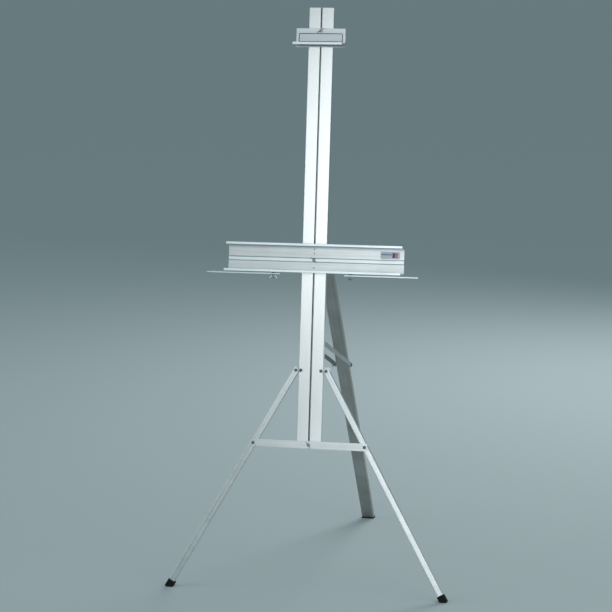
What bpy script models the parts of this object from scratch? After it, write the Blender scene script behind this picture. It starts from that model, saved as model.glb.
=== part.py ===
"""Aluminium studio easel on three legs.

A flat mast leans back over two spread front legs and one wide rear leg.  A tray and a canvas
holder slide in the mast's T-slot, a crossbar with slotted ends locks the front legs, and two
slotted brace bars lock the rear leg.  Every length is in metres.  In the mast's own frame X is
the width, +Y points out of the mast's back, +Z runs up the mast, and the mast's front face is
the plane Y = 0.
"""

import math

import bmesh
import bpy
from mathutils import Euler, Matrix

# ------------------------------------------------------------------ driving dimensions
MAST_TILT = math.radians(8.0)            # lean of the mast, backwards from the vertical
FRONT_FOOT_Y = -0.5755                   # where the plane of the mast's front meets the floor
GAP = 0.0003                             # clearance between pieces that touch

MAST_WIDTH = 0.084
MAST_DEPTH = 0.019
MAST_LENGTH = 1.500
MAST_BOTTOM = 0.498                      # lower end of the mast, measured up the mast's slope
MAST_WALL = 0.002
MAST_LIP = 0.014                         # width of the two lips at the back
SLOT_WIDTH = 0.006
SLOT_CAVITY_WIDTH = 0.022
SLOT_CAVITY_DEPTH = 0.006

BRACKET_BOLT_X = 0.0350                  # the two bolts that hold the legs' strap to the mast
BRACKET_THICKNESS = 0.003
HINGE_PLATE = 0.0025
HINGE_SCREWS = ((-0.035, -0.020), (0.035, -0.020), (-0.035, 0.020), (0.035, 0.020))
BRACE_PLATE = 0.0022
BRACE_SCREWS = ((-0.0355, 0.0), (0.0355, 0.0))

LEG_SECTION = 0.019
LEG_WALL = 0.0015
LEG_PIVOT_X = 0.0523
LEG_PIVOT_Z = 0.764
LEG_SPREAD = math.radians(29.3)          # angle of each front leg from the mast
TIP_WIDTH = 0.026
TIP_COLLAR = 0.0245                      # from where a leg's axis meets the floor up to its tip's rim
TIP_TOE = 0.0045                         # and from there down to the tip's square end
TIP_GRIP = 0.014                         # how far a leg goes into its rubber tip
TIP_ROUNDING = 0.0035

CROSSBAR_Z = 0.511
CROSSBAR_HEIGHT = 0.026
CROSSBAR_THICKNESS = 0.003
CROSSBAR_BACK = 0.0008                   # space between the crossbar and the mast's front face
CROSSBAR_TURN_RATIO = 3.07               # turn of the crossbar for one turn of a front leg
STUD_RADIUS = 0.003

REAR_HINGE_Z = 1.290
REAR_HINGE_Y = 0.0418
REAR_LEG_WIDTH = 0.044
REAR_LEG_DEPTH = 0.020
REAR_LEG_WALL = 0.002
REAR_LEG_OPEN = math.radians(43.8)       # angle between the mast and the open rear leg
REAR_PAD_THICKNESS = 0.005

BRACE_PIVOT_Y = 0.0315
BRACE_PIVOT_Z = 0.864
BRACE_STUD_DISTANCE = 0.728              # from the rear hinge down the leg to the brace's stud
BRACE_STUD_OFFSET = 0.003                # stud axis behind the middle of the rear leg
BRACE_HEIGHT = 0.016
BRACE_THICKNESS = 0.003
BRACE_INNER_X = 0.0275
BRACE_SLEEVE = 0.0045                    # radius of the spacer tube between the brace bars
BRACE_TURN_RATIO = 1.81                  # turn of the brace for one turn of the rear leg

TRAY_LENGTH = 0.610
TRAY_OFFSET = 0.006                      # the tray reaches this much further to the right of its bolt
TRAY_BOTTOM = 1.0968                     # underside of the shelf, measured up the mast
TRAY_HEIGHT = 0.0930
TRAY_SHELF_DEPTH = 0.070
TRAY_FLANGE_DEPTH = 0.045
TRAY_LIP = 0.0085                        # of the shelf, above its underside
TRAY_TOP_LIP = 0.0060                    # of the canvas ledge, above its top
TRAY_WALL = 0.0024
TRAY_BOLT_Z = 0.0435                     # above the underside of the shelf
TRAY_BACK = 0.0008                       # space between the tray and the mast's front face
TRAY_BAND = 0.0014                       # how far the raised band stands out of the web
TRAY_BAND_HEIGHT = 0.014

STICKER_WIDTH = 0.066
STICKER_HEIGHT = 0.0245
STICKER_THICKNESS = 0.0003
STICKER_X = 0.2630
STICKER_Z = 0.0665

BAR_LENGTH = 0.257
BAR_WIDTH = 0.014
BAR_THICKNESS = 0.004
BAR_INNER_X = 0.110
BAR_SCREW_X = 0.133
BAR_Y = -0.033
BAR_TRAVEL = 0.105
BAR_SPACER = 0.0034

HOLDER_LENGTH = 0.170
HOLDER_BOTTOM = 1.8640
HOLDER_HEIGHT = 0.0638
HOLDER_FLANGE_Z = 0.0105                 # underside of the flange above the plate's lower edge
HOLDER_FLANGE_DEPTH = 0.0595
HOLDER_LIP = 0.0088
HOLDER_BOLT_Z = 0.0560
LABEL_WIDTH = 0.156
LABEL_HEIGHT = 0.033
LABEL_THICKNESS = 0.0004
LABEL_Z = 0.0320

M5 = 0.0025                              # shank radii
M6 = 0.0030
SCREW_RADIUS = 0.0018
SCREW_HEAD = 0.0034
CLEARANCE_HOLE = 0.0003
BOLT_HEAD_HEIGHT = 0.0030
NUT_HEIGHT = 0.0045
WASHER_THICKNESS = 0.0010
WING_NUT_HEIGHT = 0.0070

MAST_MIDDLE = MAST_BOTTOM + MAST_LENGTH / 2
MAST_BACK = MAST_DEPTH + GAP
BRACKET_Y = MAST_BACK + BRACKET_THICKNESS / 2
STRAP_BACK = MAST_BACK + BRACKET_THICKNESS
HINGE_EAR_X = REAR_LEG_WIDTH / 2 + 0.0004     # inner faces of the hinge bracket's ears
BRACE_EAR_X = BRACE_INNER_X - 0.0004 - BRACE_PLATE
BRACE_OUTER_X = BRACE_INNER_X + BRACE_THICKNESS + GAP
LEG_CENTRE_Y = LEG_SECTION / 2
STUD_DISTANCE = (LEG_PIVOT_Z - CROSSBAR_Z) / math.cos(LEG_SPREAD)   # down the leg from its pivot
STUD_X = LEG_PIVOT_X + STUD_DISTANCE * math.sin(LEG_SPREAD)
REAR_SLOPE = REAR_LEG_OPEN - MAST_TILT        # of the open rear leg, from the vertical

FACE_FRONT = (math.pi / 2, 0.0, 0.0)     # an outline's X, Y become the frame's X, Z
FACE_SIDE = (math.pi / 2, 0.0, math.pi / 2)   # an outline's X, Y become the frame's Y, Z
HEAD_FRONT = (math.pi / 2, 0.0, 0.0)     # a turned part's top faces -Y
HEAD_BACK = (-math.pi / 2, 0.0, 0.0)
FLATS_APART = (-math.pi / 2, math.pi / 6, 0.0)   # facing back, with two of a nut's flats facing X
HEAD_RIGHT = (0.0, math.pi / 2, 0.0)     # a turned part's top faces +X
HEAD_LEFT = (0.0, -math.pi / 2, 0.0)
HEAD_DOWN = (math.pi, 0.0, 0.0)
SIDES = (("left", -1), ("right", 1))

FINISHES = {
    "mill_aluminium": ((0.78, 0.80, 0.82, 1.0), 1.0, 0.34),
    "bright_aluminium": ((0.85, 0.87, 0.88, 1.0), 1.0, 0.28),
    "weathered_aluminium": ((0.52, 0.52, 0.50, 1.0), 1.0, 0.45),
    "zinc_steel": ((0.62, 0.63, 0.64, 1.0), 1.0, 0.30),
    "black_rubber": ((0.025, 0.025, 0.027, 1.0), 0.0, 0.75),
    "grey_nylon": ((0.30, 0.31, 0.32, 1.0), 0.0, 0.55),
    "printed_label": ((0.82, 0.83, 0.84, 1.0), 0.0, 0.40),
}


# ------------------------------------------------------------------ scene and placing
def start_scene():
    """Removes what the scene holds and returns the collection for the easel's pieces."""
    for thing in list(bpy.data.objects):
        bpy.data.objects.remove(thing, do_unlink=True)
    easel = bpy.data.collections.new("studio_easel")
    bpy.context.scene.collection.children.link(easel)
    return easel


EASEL = start_scene()


def frame_empty(name, location, rotation=(0.0, 0.0, 0.0), parent=None):
    """An empty that carries the pieces of one body, set on the body's joint axis."""
    empty = bpy.data.objects.new(name, None)
    empty.empty_display_size = 0.05
    empty.parent = parent
    empty.location = location
    empty.rotation_euler = rotation
    EASEL.objects.link(empty)
    return empty


def finish_material(node, finish):
    colour, metallic, roughness = FINISHES[finish]
    material = bpy.data.materials.new(node + "_finish")
    material.use_nodes = True
    shader = material.node_tree.nodes["Principled BSDF"]
    shader.inputs["Base Color"].default_value = colour
    shader.inputs["Metallic"].default_value = metallic
    shader.inputs["Roughness"].default_value = roughness
    return material


def place(node, mesh, finish, frame, location=(0.0, 0.0, 0.0), rotation=(0.0, 0.0, 0.0)):
    """One named piece: the mesh with its material, set in a frame."""
    piece = bpy.data.objects.new(node, mesh)
    piece.parent = frame
    piece.location = location
    piece.rotation_euler = rotation
    EASEL.objects.link(piece)
    if not mesh.materials:
        mesh.materials.append(None)
    piece.material_slots[0].link = "OBJECT"
    piece.material_slots[0].material = finish_material(node, finish)
    mesh.shade_smooth()
    mesh.set_sharp_from_angle(angle=math.radians(35))
    return piece


# ------------------------------------------------------------------ outlines
def arc(centre, radius, start, end, count):
    """Points on an arc; the angles are in degrees."""
    points = []
    for index in range(count + 1):
        angle = math.radians(start + (end - start) * index / count)
        points.append((centre[0] + radius * math.cos(angle), centre[1] + radius * math.sin(angle)))
    return points


def circle(centre, radius, count=16):
    return arc(centre, radius, 0.0, 360.0, count)[:-1]


def rounded(corners, radius, count=2):
    """A closed outline with every corner turned into a small arc."""
    points = []
    for index, corner in enumerate(corners):
        before = corners[index - 1]
        after = corners[(index + 1) % len(corners)]
        to_before = math.dist(corner, before)
        to_after = math.dist(corner, after)
        reach = min(radius, 0.45 * to_before, 0.45 * to_after)
        start = [corner[k] + (before[k] - corner[k]) * reach / to_before for k in (0, 1)]
        end = [corner[k] + (after[k] - corner[k]) * reach / to_after for k in (0, 1)]
        for step in range(count + 1):
            t = step / count
            points.append(tuple((1 - t) ** 2 * start[k] + 2 * t * (1 - t) * corner[k] + t ** 2 * end[k]
                                for k in (0, 1)))
    return points


def rectangle(width, height, radius=0.0, centre=(0.0, 0.0), count=4):
    x = width / 2
    y = height / 2
    corners = [(-x, -y), (x, -y), (x, y), (-x, y)]
    corners = [(centre[0] + cx, centre[1] + cy) for cx, cy in corners]
    return rounded(corners, radius, count) if radius else corners


def long_hole(start, end, radius, count=8):
    """A slot with round ends between two centres."""
    angle = math.degrees(math.atan2(end[1] - start[1], end[0] - start[0]))
    return arc(start, radius, angle + 90, angle + 270, count) + arc(end, radius, angle - 90, angle + 90, count)


def notch_outline(path, radius, count=10):
    """The outline swept by a stud of the given radius that leaves along a path of centres."""
    left = []
    right = []
    for index, point in enumerate(path):
        before = path[max(index - 1, 0)]
        after = path[min(index + 1, len(path) - 1)]
        run = math.dist(before, after)
        side = (-(after[1] - before[1]) / run * radius, (after[0] - before[0]) / run * radius)
        left.append((point[0] + side[0], point[1] + side[1]))
        right.append((point[0] - side[0], point[1] - side[1]))
    heading = math.degrees(math.atan2(path[1][1] - path[0][1], path[1][0] - path[0][0]))
    cap = arc(path[0], radius, heading + 90, heading + 270, count)
    return cap[1:-1] + right + left[::-1]


# ------------------------------------------------------------------ meshes
def evaluated_mesh(thing):
    """The mesh of an object with its modifiers or curve settings applied; the object is removed."""
    bpy.context.view_layer.update()
    evaluated = thing.evaluated_get(bpy.context.evaluated_depsgraph_get())
    mesh = bpy.data.meshes.new_from_object(evaluated)
    bpy.data.objects.remove(thing, do_unlink=True)
    return mesh


def temporary(data):
    thing = bpy.data.objects.new("temporary", data)
    bpy.context.scene.collection.objects.link(thing)
    return thing


def welded(mesh, distance=1e-6):
    shape = bmesh.new()
    shape.from_mesh(mesh)
    bmesh.ops.remove_doubles(shape, verts=shape.verts, dist=distance)
    bmesh.ops.recalc_face_normals(shape, faces=shape.faces)
    shape.to_mesh(mesh)
    shape.free()
    return mesh


def plate(outlines, thickness):
    """Flat outlines, the first one outside and any others holes, with a thickness along Z."""
    curve = bpy.data.curves.new("outline", "CURVE")
    curve.dimensions = "2D"
    curve.fill_mode = "BOTH"
    curve.extrude = thickness / 2
    for outline in outlines:
        spline = curve.splines.new("POLY")
        spline.points.add(len(outline) - 1)
        for point, (x, y) in zip(spline.points, outline):
            point.co = (x, y, 0.0, 1.0)
        spline.use_cyclic_u = True
    return welded(evaluated_mesh(temporary(curve)))


def turned(profile, steps=16, closed=False):
    """A profile of (radius, height) points turned about Z; a closed profile leaves a bore."""
    mesh = bpy.data.meshes.new("profile")
    edges = [(index, index + 1) for index in range(len(profile) - 1)]
    if closed:
        edges.append((len(profile) - 1, 0))
    mesh.from_pydata([(radius, 0.0, height) for radius, height in profile], edges, [])
    body = temporary(mesh)
    screw = body.modifiers.new("turn", "SCREW")
    screw.axis = "Z"
    screw.angle = 2 * math.pi
    screw.steps = steps
    screw.render_steps = steps
    screw.use_merge_vertices = True
    screw.merge_threshold = 1e-5
    return welded(evaluated_mesh(body))


def box(width, depth, height, rounding=0.0, segments=2):
    """A block centred on the origin, with rounded edges where a rounding is given."""
    shape = bmesh.new()
    bmesh.ops.create_cube(shape, size=1.0, matrix=Matrix.Diagonal((width, depth, height, 1.0)))
    mesh = bpy.data.meshes.new("box")
    shape.to_mesh(mesh)
    shape.free()
    if not rounding:
        return mesh
    body = temporary(mesh)
    bevel = body.modifiers.new("edges", "BEVEL")
    bevel.width = rounding
    bevel.segments = segments
    bevel.limit_method = "NONE"
    return evaluated_mesh(body)


def moved(mesh, location=(0.0, 0.0, 0.0), rotation=(0.0, 0.0, 0.0)):
    """A copy of a mesh, turned and then shifted."""
    copy = mesh.copy()
    copy.transform(Matrix.Translation(location) @ Euler(rotation).to_matrix().to_4x4())
    return copy


def boolean(base, others, operation):
    """The base joined with, or cut by, other meshes that lie in the same frame, one after another."""
    for other in others:
        body = temporary(base)
        helper = temporary(other)
        modifier = body.modifiers.new(operation.lower(), "BOOLEAN")
        modifier.operation = operation
        modifier.object = helper
        modifier.solver = "EXACT"
        base = welded(evaluated_mesh(body))
        bpy.data.objects.remove(helper, do_unlink=True)
    return base


def cut(base, cutters):
    return boolean(base, cutters, "DIFFERENCE")


def joined(base, others):
    return boolean(base, others, "UNION")


def drill(radius, length, location, rotation=HEAD_FRONT):
    """A round cutter centred on a place, its length along the turned axis."""
    half = length / 2
    rod = turned([(0.0, half), (radius, half), (radius, -half), (0.0, -half)])
    return moved(rod, location, rotation)


# ------------------------------------------------------------------ fasteners
def bolt_mesh(radius, length, head_radius, head_height=BOLT_HEAD_HEIGHT, peened=None):
    """A pan-head bolt: the head stands on Z = 0 and the shank runs down.

    peened gives the radius and height of a rivet-like end below the shank.
    """
    crown = arc((0.0, head_height - head_radius * 0.9), head_radius * 0.9, 90, 50, 2)
    profile = crown + [(head_radius, head_height * 0.35), (head_radius, 0.0), (radius, 0.0)]
    if peened:
        end_radius, end_height = peened
        profile += [(radius, -length), (end_radius, -length), (end_radius, -length - end_height * 0.4),
                    (end_radius * 0.6, -length - end_height * 0.9), (0.0, -length - end_height)]
    else:
        chamfer = radius * 0.25
        profile += [(radius, chamfer - length), (radius - chamfer, -length), (0.0, -length)]
    return turned(profile)


def nut_mesh(radius, across_corners, height=NUT_HEIGHT):
    """A hexagon nut on Z = 0 that stands up from it."""
    outlines = [circle((0.0, 0.0), across_corners / 2, 6), circle((0.0, 0.0), radius + CLEARANCE_HOLE)]
    return moved(plate(outlines, height), (0.0, 0.0, height / 2))


def washer_mesh(hole, radius, thickness=WASHER_THICKNESS):
    """A flat ring that stands on Z = 0."""
    return turned([(hole, 0.0), (hole, thickness), (radius, thickness), (radius, 0.0)], closed=True)


def wing_nut_mesh():
    """A wing nut for an M5 bolt that stands on Z = 0, with its wings in the XZ plane."""
    bore = M5 + CLEARANCE_HOLE
    hub = turned([(bore, 0.0), (bore, WING_NUT_HEIGHT), (0.0043, WING_NUT_HEIGHT), (0.0055, 0.0012),
                  (0.0055, 0.0)], closed=True)
    wing = [(0.0036, 0.0016), (0.0066, 0.0019), (0.0094, 0.0046), (0.0116, 0.0066)]
    wing += arc((0.0115, 0.0094), 0.0026, -70, 120, 6)
    wing += [(0.0078, 0.0098), (0.0056, 0.0072), (0.0036, 0.0058)]
    right = moved(plate([wing], 0.0022), rotation=FACE_FRONT)
    left = moved(right, rotation=(0.0, 0.0, math.pi))
    return joined(hub, [right, left])


def t_bolt_mesh(length):
    """A bolt whose flat head turns in the mast's slot; the head's face is Z = 0, the shank runs up."""
    head = moved(box(0.020, 0.016, 0.003, 0.0006), (0.0, 0.0, -0.0015))
    chamfer = M5 * 0.25
    shank = turned([(0.0, length), (M5 - chamfer, length), (M5, length - chamfer), (M5, -0.001),
                    (0.0, -0.001)])
    return joined(head, [shank])


# ------------------------------------------------------------------ mast and its brackets
def mast_mesh():
    """The mast's section: two flat faces beside a T-slot, side walls, and lips at the back."""
    half = MAST_WIDTH / 2
    slot = SLOT_WIDTH / 2
    cavity = SLOT_CAVITY_WIDTH / 2
    floor = MAST_WALL + SLOT_CAVITY_DEPTH
    lip = half - MAST_LIP
    right = [(slot, 0.0), (half, 0.0), (half, MAST_DEPTH), (lip, MAST_DEPTH),
             (lip, MAST_DEPTH - MAST_WALL), (half - MAST_WALL, MAST_DEPTH - MAST_WALL),
             (half - MAST_WALL, MAST_WALL), (cavity + MAST_WALL, MAST_WALL),
             (cavity + MAST_WALL, floor + MAST_WALL)]
    inner = [(cavity, floor), (cavity, MAST_WALL), (slot, MAST_WALL)]
    mirror = [(-x, y) for x, y in right[::-1]]
    mirror_inner = [(-x, y) for x, y in inner[::-1]]
    section = rounded(right + mirror + mirror_inner + inner, 0.0006)
    holes = [drill(M5 + CLEARANCE_HOLE, 0.060, (side * BRACKET_BOLT_X, 0.010, LEG_PIVOT_Z - MAST_MIDDLE))
             for _, side in SIDES]
    screws = [(x, REAR_HINGE_Z + z - MAST_MIDDLE) for x, z in HINGE_SCREWS]
    screws += [(x, BRACE_PIVOT_Z + z - MAST_MIDDLE) for x, z in BRACE_SCREWS]
    holes += [drill(SCREW_RADIUS + CLEARANCE_HOLE, 0.008, (x, MAST_DEPTH, z)) for x, z in screws]
    return cut(plate([section], MAST_LENGTH), holes)


def leg_bracket_mesh():
    """The strap behind the mast that carries the front legs' pivots."""
    width = 2 * (LEG_PIVOT_X + 0.012)
    outlines = [rectangle(width, 0.024, 0.012)]
    for _, side in SIDES:
        outlines.append(circle((side * BRACKET_BOLT_X, 0.0), M5 + CLEARANCE_HOLE))
        outlines.append(circle((side * LEG_PIVOT_X, 0.0), M6 + CLEARANCE_HOLE))
    return plate(outlines, BRACKET_THICKNESS)


def eared_bracket_mesh(height, screws, thickness, ear_x, axis_y, ear_radius, hole):
    """A plate on the mast's back with two ears; Z = 0 is level with the ears' holes."""
    outlines = [rectangle(0.082, height, 0.004)]
    outlines += [circle(place_on_plate, SCREW_RADIUS + CLEARANCE_HOLE, 14) for place_on_plate in screws]
    base = moved(plate(outlines, thickness), (0.0, MAST_BACK + thickness / 2, 0.0), FACE_FRONT)
    root = MAST_BACK + thickness / 2
    foot = height / 2 - 0.004
    ear = [(root, -foot)] + arc((axis_y, 0.0), ear_radius, -70, 70, 8) + [(root, foot)]
    ear_plate = plate([ear, circle((axis_y, 0.0), hole)], thickness)
    ears = [moved(ear_plate, (side * (ear_x + thickness / 2), 0.0, 0.0), FACE_SIDE) for _, side in SIDES]
    return joined(base, ears)


def make_mast(mast):
    place("mast_extrusion", mast_mesh(), "bright_aluminium", mast, (0.0, 0.0, MAST_MIDDLE))
    place("leg_bracket", leg_bracket_mesh(), "mill_aluminium", mast, (0.0, BRACKET_Y, LEG_PIVOT_Z),
          FACE_FRONT)
    mast_bolt = bolt_mesh(M5, STRAP_BACK + NUT_HEIGHT + 0.003, 0.0058)
    mast_nut = nut_mesh(M5, 0.0092)
    pivot_bolt = bolt_mesh(M6, STRAP_BACK + NUT_HEIGHT + 0.003, 0.0056)
    pivot_nut = nut_mesh(M6, 0.0112)
    for name, side in SIDES:
        bolt_x = side * BRACKET_BOLT_X
        leg_x = side * LEG_PIVOT_X
        place("bracket_bolt_" + name, mast_bolt, "zinc_steel", mast, (bolt_x, -GAP, LEG_PIVOT_Z),
              HEAD_FRONT)
        place("bracket_nut_" + name, mast_nut, "zinc_steel", mast,
              (bolt_x, STRAP_BACK + GAP, LEG_PIVOT_Z), FLATS_APART)
        place("leg_pivot_bolt_" + name, pivot_bolt, "zinc_steel", mast, (leg_x, -GAP, LEG_PIVOT_Z),
              HEAD_FRONT)
        place("leg_pivot_nut_" + name, pivot_nut, "zinc_steel", mast,
              (leg_x, STRAP_BACK + GAP, LEG_PIVOT_Z), HEAD_BACK)
    make_hinge_bracket(mast, pivot_nut)
    make_brace_bracket(mast)


def make_hinge_bracket(mast, nut):
    bracket = eared_bracket_mesh(0.060, HINGE_SCREWS, HINGE_PLATE, HINGE_EAR_X, REAR_HINGE_Y, 0.010,
                                 M6 + CLEARANCE_HOLE)
    place("hinge_bracket", bracket, "zinc_steel", mast, (0.0, 0.0, REAR_HINGE_Z))
    screw = bolt_mesh(SCREW_RADIUS, 0.0065, SCREW_HEAD, 0.0018)
    head = MAST_BACK + HINGE_PLATE + GAP
    for number, (x, z) in enumerate(HINGE_SCREWS, 1):
        place("hinge_bracket_screw_%d" % number, screw, "zinc_steel", mast, (x, head, REAR_HINGE_Z + z),
              HEAD_BACK)
    ear_face = HINGE_EAR_X + HINGE_PLATE + GAP
    bolt = bolt_mesh(M6, 2 * ear_face + NUT_HEIGHT + 0.003, 0.0056, 0.0035)
    place("rear_hinge_bolt", bolt, "zinc_steel", mast, (ear_face, REAR_HINGE_Y, REAR_HINGE_Z),
          HEAD_RIGHT)
    place("rear_hinge_nut", nut, "zinc_steel", mast, (-ear_face, REAR_HINGE_Y, REAR_HINGE_Z),
          HEAD_LEFT)


def make_brace_bracket(mast):
    bracket = eared_bracket_mesh(0.044, BRACE_SCREWS, BRACE_PLATE, BRACE_EAR_X, BRACE_PIVOT_Y, 0.007,
                                 M5 + CLEARANCE_HOLE)
    place("brace_bracket", bracket, "zinc_steel", mast, (0.0, 0.0, BRACE_PIVOT_Z))
    screw = bolt_mesh(SCREW_RADIUS, 0.0065, SCREW_HEAD, 0.0018)
    rivet = bolt_mesh(M5, BRACE_OUTER_X - BRACE_EAR_X + GAP, 0.0048, 0.0022, (0.0040, 0.0010))
    head = MAST_BACK + BRACE_PLATE + GAP
    for (name, side), (x, z) in zip(SIDES, BRACE_SCREWS):
        place("brace_bracket_screw_" + name, screw, "zinc_steel", mast, (x, head, BRACE_PIVOT_Z + z),
              HEAD_BACK)
        place("brace_rivet_" + name, rivet, "zinc_steel", mast,
              (side * BRACE_OUTER_X, BRACE_PIVOT_Y, BRACE_PIVOT_Z), HEAD_RIGHT if side > 0 else HEAD_LEFT)


# ------------------------------------------------------------------ front legs and crossbar


def leg_length():
    """From the pivot down the leg's axis to the floor."""
    pivot_height = LEG_PIVOT_Z * math.cos(MAST_TILT) - LEG_CENTRE_Y * math.sin(MAST_TILT)
    return pivot_height / (math.cos(LEG_SPREAD) * math.cos(MAST_TILT))


def leg_tube_mesh():
    """Square tube along -Z from the pivot at the origin, with a round upper end and two cross holes."""
    half = LEG_SECTION / 2
    bottom = leg_length() - TIP_COLLAR + TIP_GRIP - GAP
    inner = LEG_SECTION - 2 * LEG_WALL
    sections = [rectangle(LEG_SECTION, LEG_SECTION, 0.0018), rectangle(inner, inner, 0.0006, count=2)]
    length = bottom + half
    tube = moved(plate(sections, length), (0.0, 0.0, half - length / 2))
    crown = arc((0.0, 0.0), half, 180, 0, 12)
    crown = [(-0.012, 0.0)] + crown + [(0.012, 0.0), (0.012, 0.012), (-0.012, 0.012)]
    cutters = [moved(plate([crown], 0.030), rotation=FACE_FRONT)]
    cutters.append(drill(M6 + CLEARANCE_HOLE, 0.030, (0.0, 0.0, 0.0)))
    cutters.append(drill(STUD_RADIUS + CLEARANCE_HOLE, 0.030, (0.0, 0.0, -STUD_DISTANCE)))
    return cut(tube, cutters)


def leg_tip_mesh(side):
    """A square rubber tip with a blind socket, worn level; its leg's axis meets the floor at the origin."""
    height = TIP_COLLAR + TIP_TOE
    body = moved(box(TIP_WIDTH, TIP_WIDTH, height, TIP_ROUNDING, 3), (0.0, 0.0, TIP_COLLAR - height / 2))
    room = LEG_SECTION + 2 * GAP
    socket = moved(plate([rectangle(room, room, 0.0018)], 0.040), (0.0, 0.0, TIP_COLLAR - TIP_GRIP + 0.020))
    floor = moved(box(0.1, 0.1, 0.04), (0.0, 0.0, -0.02))
    return cut(body, [socket, moved(floor, rotation=(MAST_TILT, side * LEG_SPREAD, 0.0))])


def stud_place(fold, side):
    """Where a leg's stud is, in the turning crossbar's own XZ plane, when the legs fold by an angle."""
    angle = LEG_SPREAD - fold
    x = side * (LEG_PIVOT_X + STUD_DISTANCE * math.sin(angle))
    z = LEG_PIVOT_Z - STUD_DISTANCE * math.cos(angle) - CROSSBAR_Z
    turn = CROSSBAR_TURN_RATIO * fold
    return (x * math.cos(turn) - z * math.sin(turn), x * math.sin(turn) + z * math.cos(turn))


def crossbar_mesh():
    """A flat bar with a centre hole and, at each end, an open notch along the stud's way out."""
    half = CROSSBAR_HEIGHT / 2
    left_end = -STUD_X - 0.0112
    right_end = STUD_X + 0.0095
    outline = arc((left_end + half, 0.0), half, 90, 270, 12)
    outline += arc((right_end - 0.005, 0.005 - half), 0.005, 270, 360, 4)
    outline += arc((right_end - 0.005, half - 0.005), 0.005, 0, 90, 4)
    bar = plate([outline, circle((0.0, 0.0), M5 + CLEARANCE_HOLE)], CROSSBAR_THICKNESS)
    notches = []
    for _, side in SIDES:
        path = [stud_place(math.radians(0.3 * step), side) for step in range(8)]
        notches.append(plate([notch_outline(path, STUD_RADIUS + 0.0007)], 0.010))
    return moved(cut(bar, notches), rotation=FACE_FRONT)


def make_front_legs(mast):
    tube = leg_tube_mesh()
    front = CROSSBAR_BACK + CROSSBAR_THICKNESS + 0.0005
    stud = bolt_mesh(STUD_RADIUS, front + LEG_SECTION + GAP, 0.0056, 0.0028, (0.0050, 0.0020))
    for name, side in SIDES:
        pivot = frame_empty("leg_pivot_" + name, (side * LEG_PIVOT_X, LEG_CENTRE_Y, LEG_PIVOT_Z),
                            (0.0, -side * LEG_SPREAD, 0.0), mast)
        place("leg_tube_" + name, tube, "mill_aluminium", pivot)
        place("leg_tip_" + name, leg_tip_mesh(side), "black_rubber", pivot, (0.0, 0.0, -leg_length()))
        place("leg_stud_" + name, stud, "zinc_steel", pivot,
              (0.0, -LEG_CENTRE_Y - front, -STUD_DISTANCE), HEAD_FRONT)


def make_crossbar(mast, wing_nut):
    pivot = frame_empty("crossbar_pivot", (0.0, 0.0, CROSSBAR_Z), parent=mast)
    middle = CROSSBAR_BACK + CROSSBAR_THICKNESS / 2
    face = CROSSBAR_BACK + CROSSBAR_THICKNESS + GAP
    place("crossbar", crossbar_mesh(), "mill_aluminium", pivot, (0.0, -middle, 0.0))
    make_slot_clamp("crossbar", pivot, face, wing_nut, 55.0)


def make_slot_clamp(name, frame, face, wing_nut, wing_angle):
    """A T-bolt in the mast's slot with the washer and wing nut that clamp a piece whose front is at face."""
    head = MAST_WALL + GAP
    nut_base = face + WASHER_THICKNESS + GAP
    length = head + nut_base + WING_NUT_HEIGHT + 0.004
    place(name + "_t_bolt", t_bolt_mesh(length), "zinc_steel", frame, (0.0, head, 0.0), HEAD_FRONT)
    place(name + "_washer", washer_mesh(M5 + CLEARANCE_HOLE, 0.0062), "zinc_steel", frame,
          (0.0, -face, 0.0), HEAD_FRONT)
    place(name + "_wing_nut", wing_nut, "zinc_steel", frame, (0.0, -nut_base, 0.0),
          (math.pi / 2, math.radians(wing_angle), 0.0))


# ------------------------------------------------------------------ rear leg and brace
def rear_leg_length():
    """From the hinge down the middle of the open rear leg to the floor."""
    hinge_height = REAR_HINGE_Z * math.cos(MAST_TILT) - REAR_HINGE_Y * math.sin(MAST_TILT)
    return hinge_height / math.cos(REAR_LEG_OPEN - MAST_TILT)


def rear_leg_mesh():
    """A channel along -Z from the hinge at the origin, open at its back, cut level at the floor."""
    half = REAR_LEG_WIDTH / 2
    front = -REAR_LEG_DEPTH / 2
    back = REAR_LEG_DEPTH / 2
    wall = REAR_LEG_WALL
    section = rounded([(-half, front), (half, front), (half, back), (half - wall, back),
                       (half - wall, front + wall), (-half + wall, front + wall),
                       (-half + wall, back), (-half, back)], 0.0006)
    top = 0.013
    bottom = rear_leg_length() + 0.03
    channel = moved(plate([section], top + bottom), (0.0, 0.0, (top - bottom) / 2))
    floor_cut = moved(box(0.2, 0.2, 0.1), (0.0, 0.0, REAR_PAD_THICKNESS + GAP - 0.05))
    floor_cut = moved(floor_cut, rotation=(-REAR_SLOPE, 0.0, 0.0))
    floor_cut = moved(floor_cut, (0.0, 0.0, -rear_leg_length()))
    holes = [drill(M6 + CLEARANCE_HOLE, 0.06, (0.0, 0.0, 0.0), HEAD_RIGHT),
             drill(BRACE_SLEEVE + GAP, 0.06, (0.0, BRACE_STUD_OFFSET, -BRACE_STUD_DISTANCE), HEAD_RIGHT)]
    return cut(channel, holes + [floor_cut])


def rear_pad_mesh():
    """A rubber sole with a tongue that plugs the channel; level, with the leg's middle at the origin."""
    sole = moved(box(REAR_LEG_WIDTH + 0.003, 0.033, REAR_PAD_THICKNESS, 0.001),
                 (0.0, 0.0, REAR_PAD_THICKNESS / 2))
    front = (REAR_LEG_DEPTH / 2 - REAR_LEG_WALL - GAP) / math.cos(REAR_SLOPE)
    back = (REAR_LEG_DEPTH / 2) / math.cos(REAR_SLOPE)
    low = REAR_PAD_THICKNESS - 0.001
    high = 0.024
    lean = math.tan(REAR_SLOPE)
    tongue = [(-front - low * lean, low), (back - low * lean, low),
              (back - high * lean, high), (-front - high * lean, high)]
    plug = moved(plate([tongue], REAR_LEG_WIDTH - 2 * REAR_LEG_WALL - 2 * GAP), rotation=FACE_SIDE)
    return joined(sole, [plug])


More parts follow.
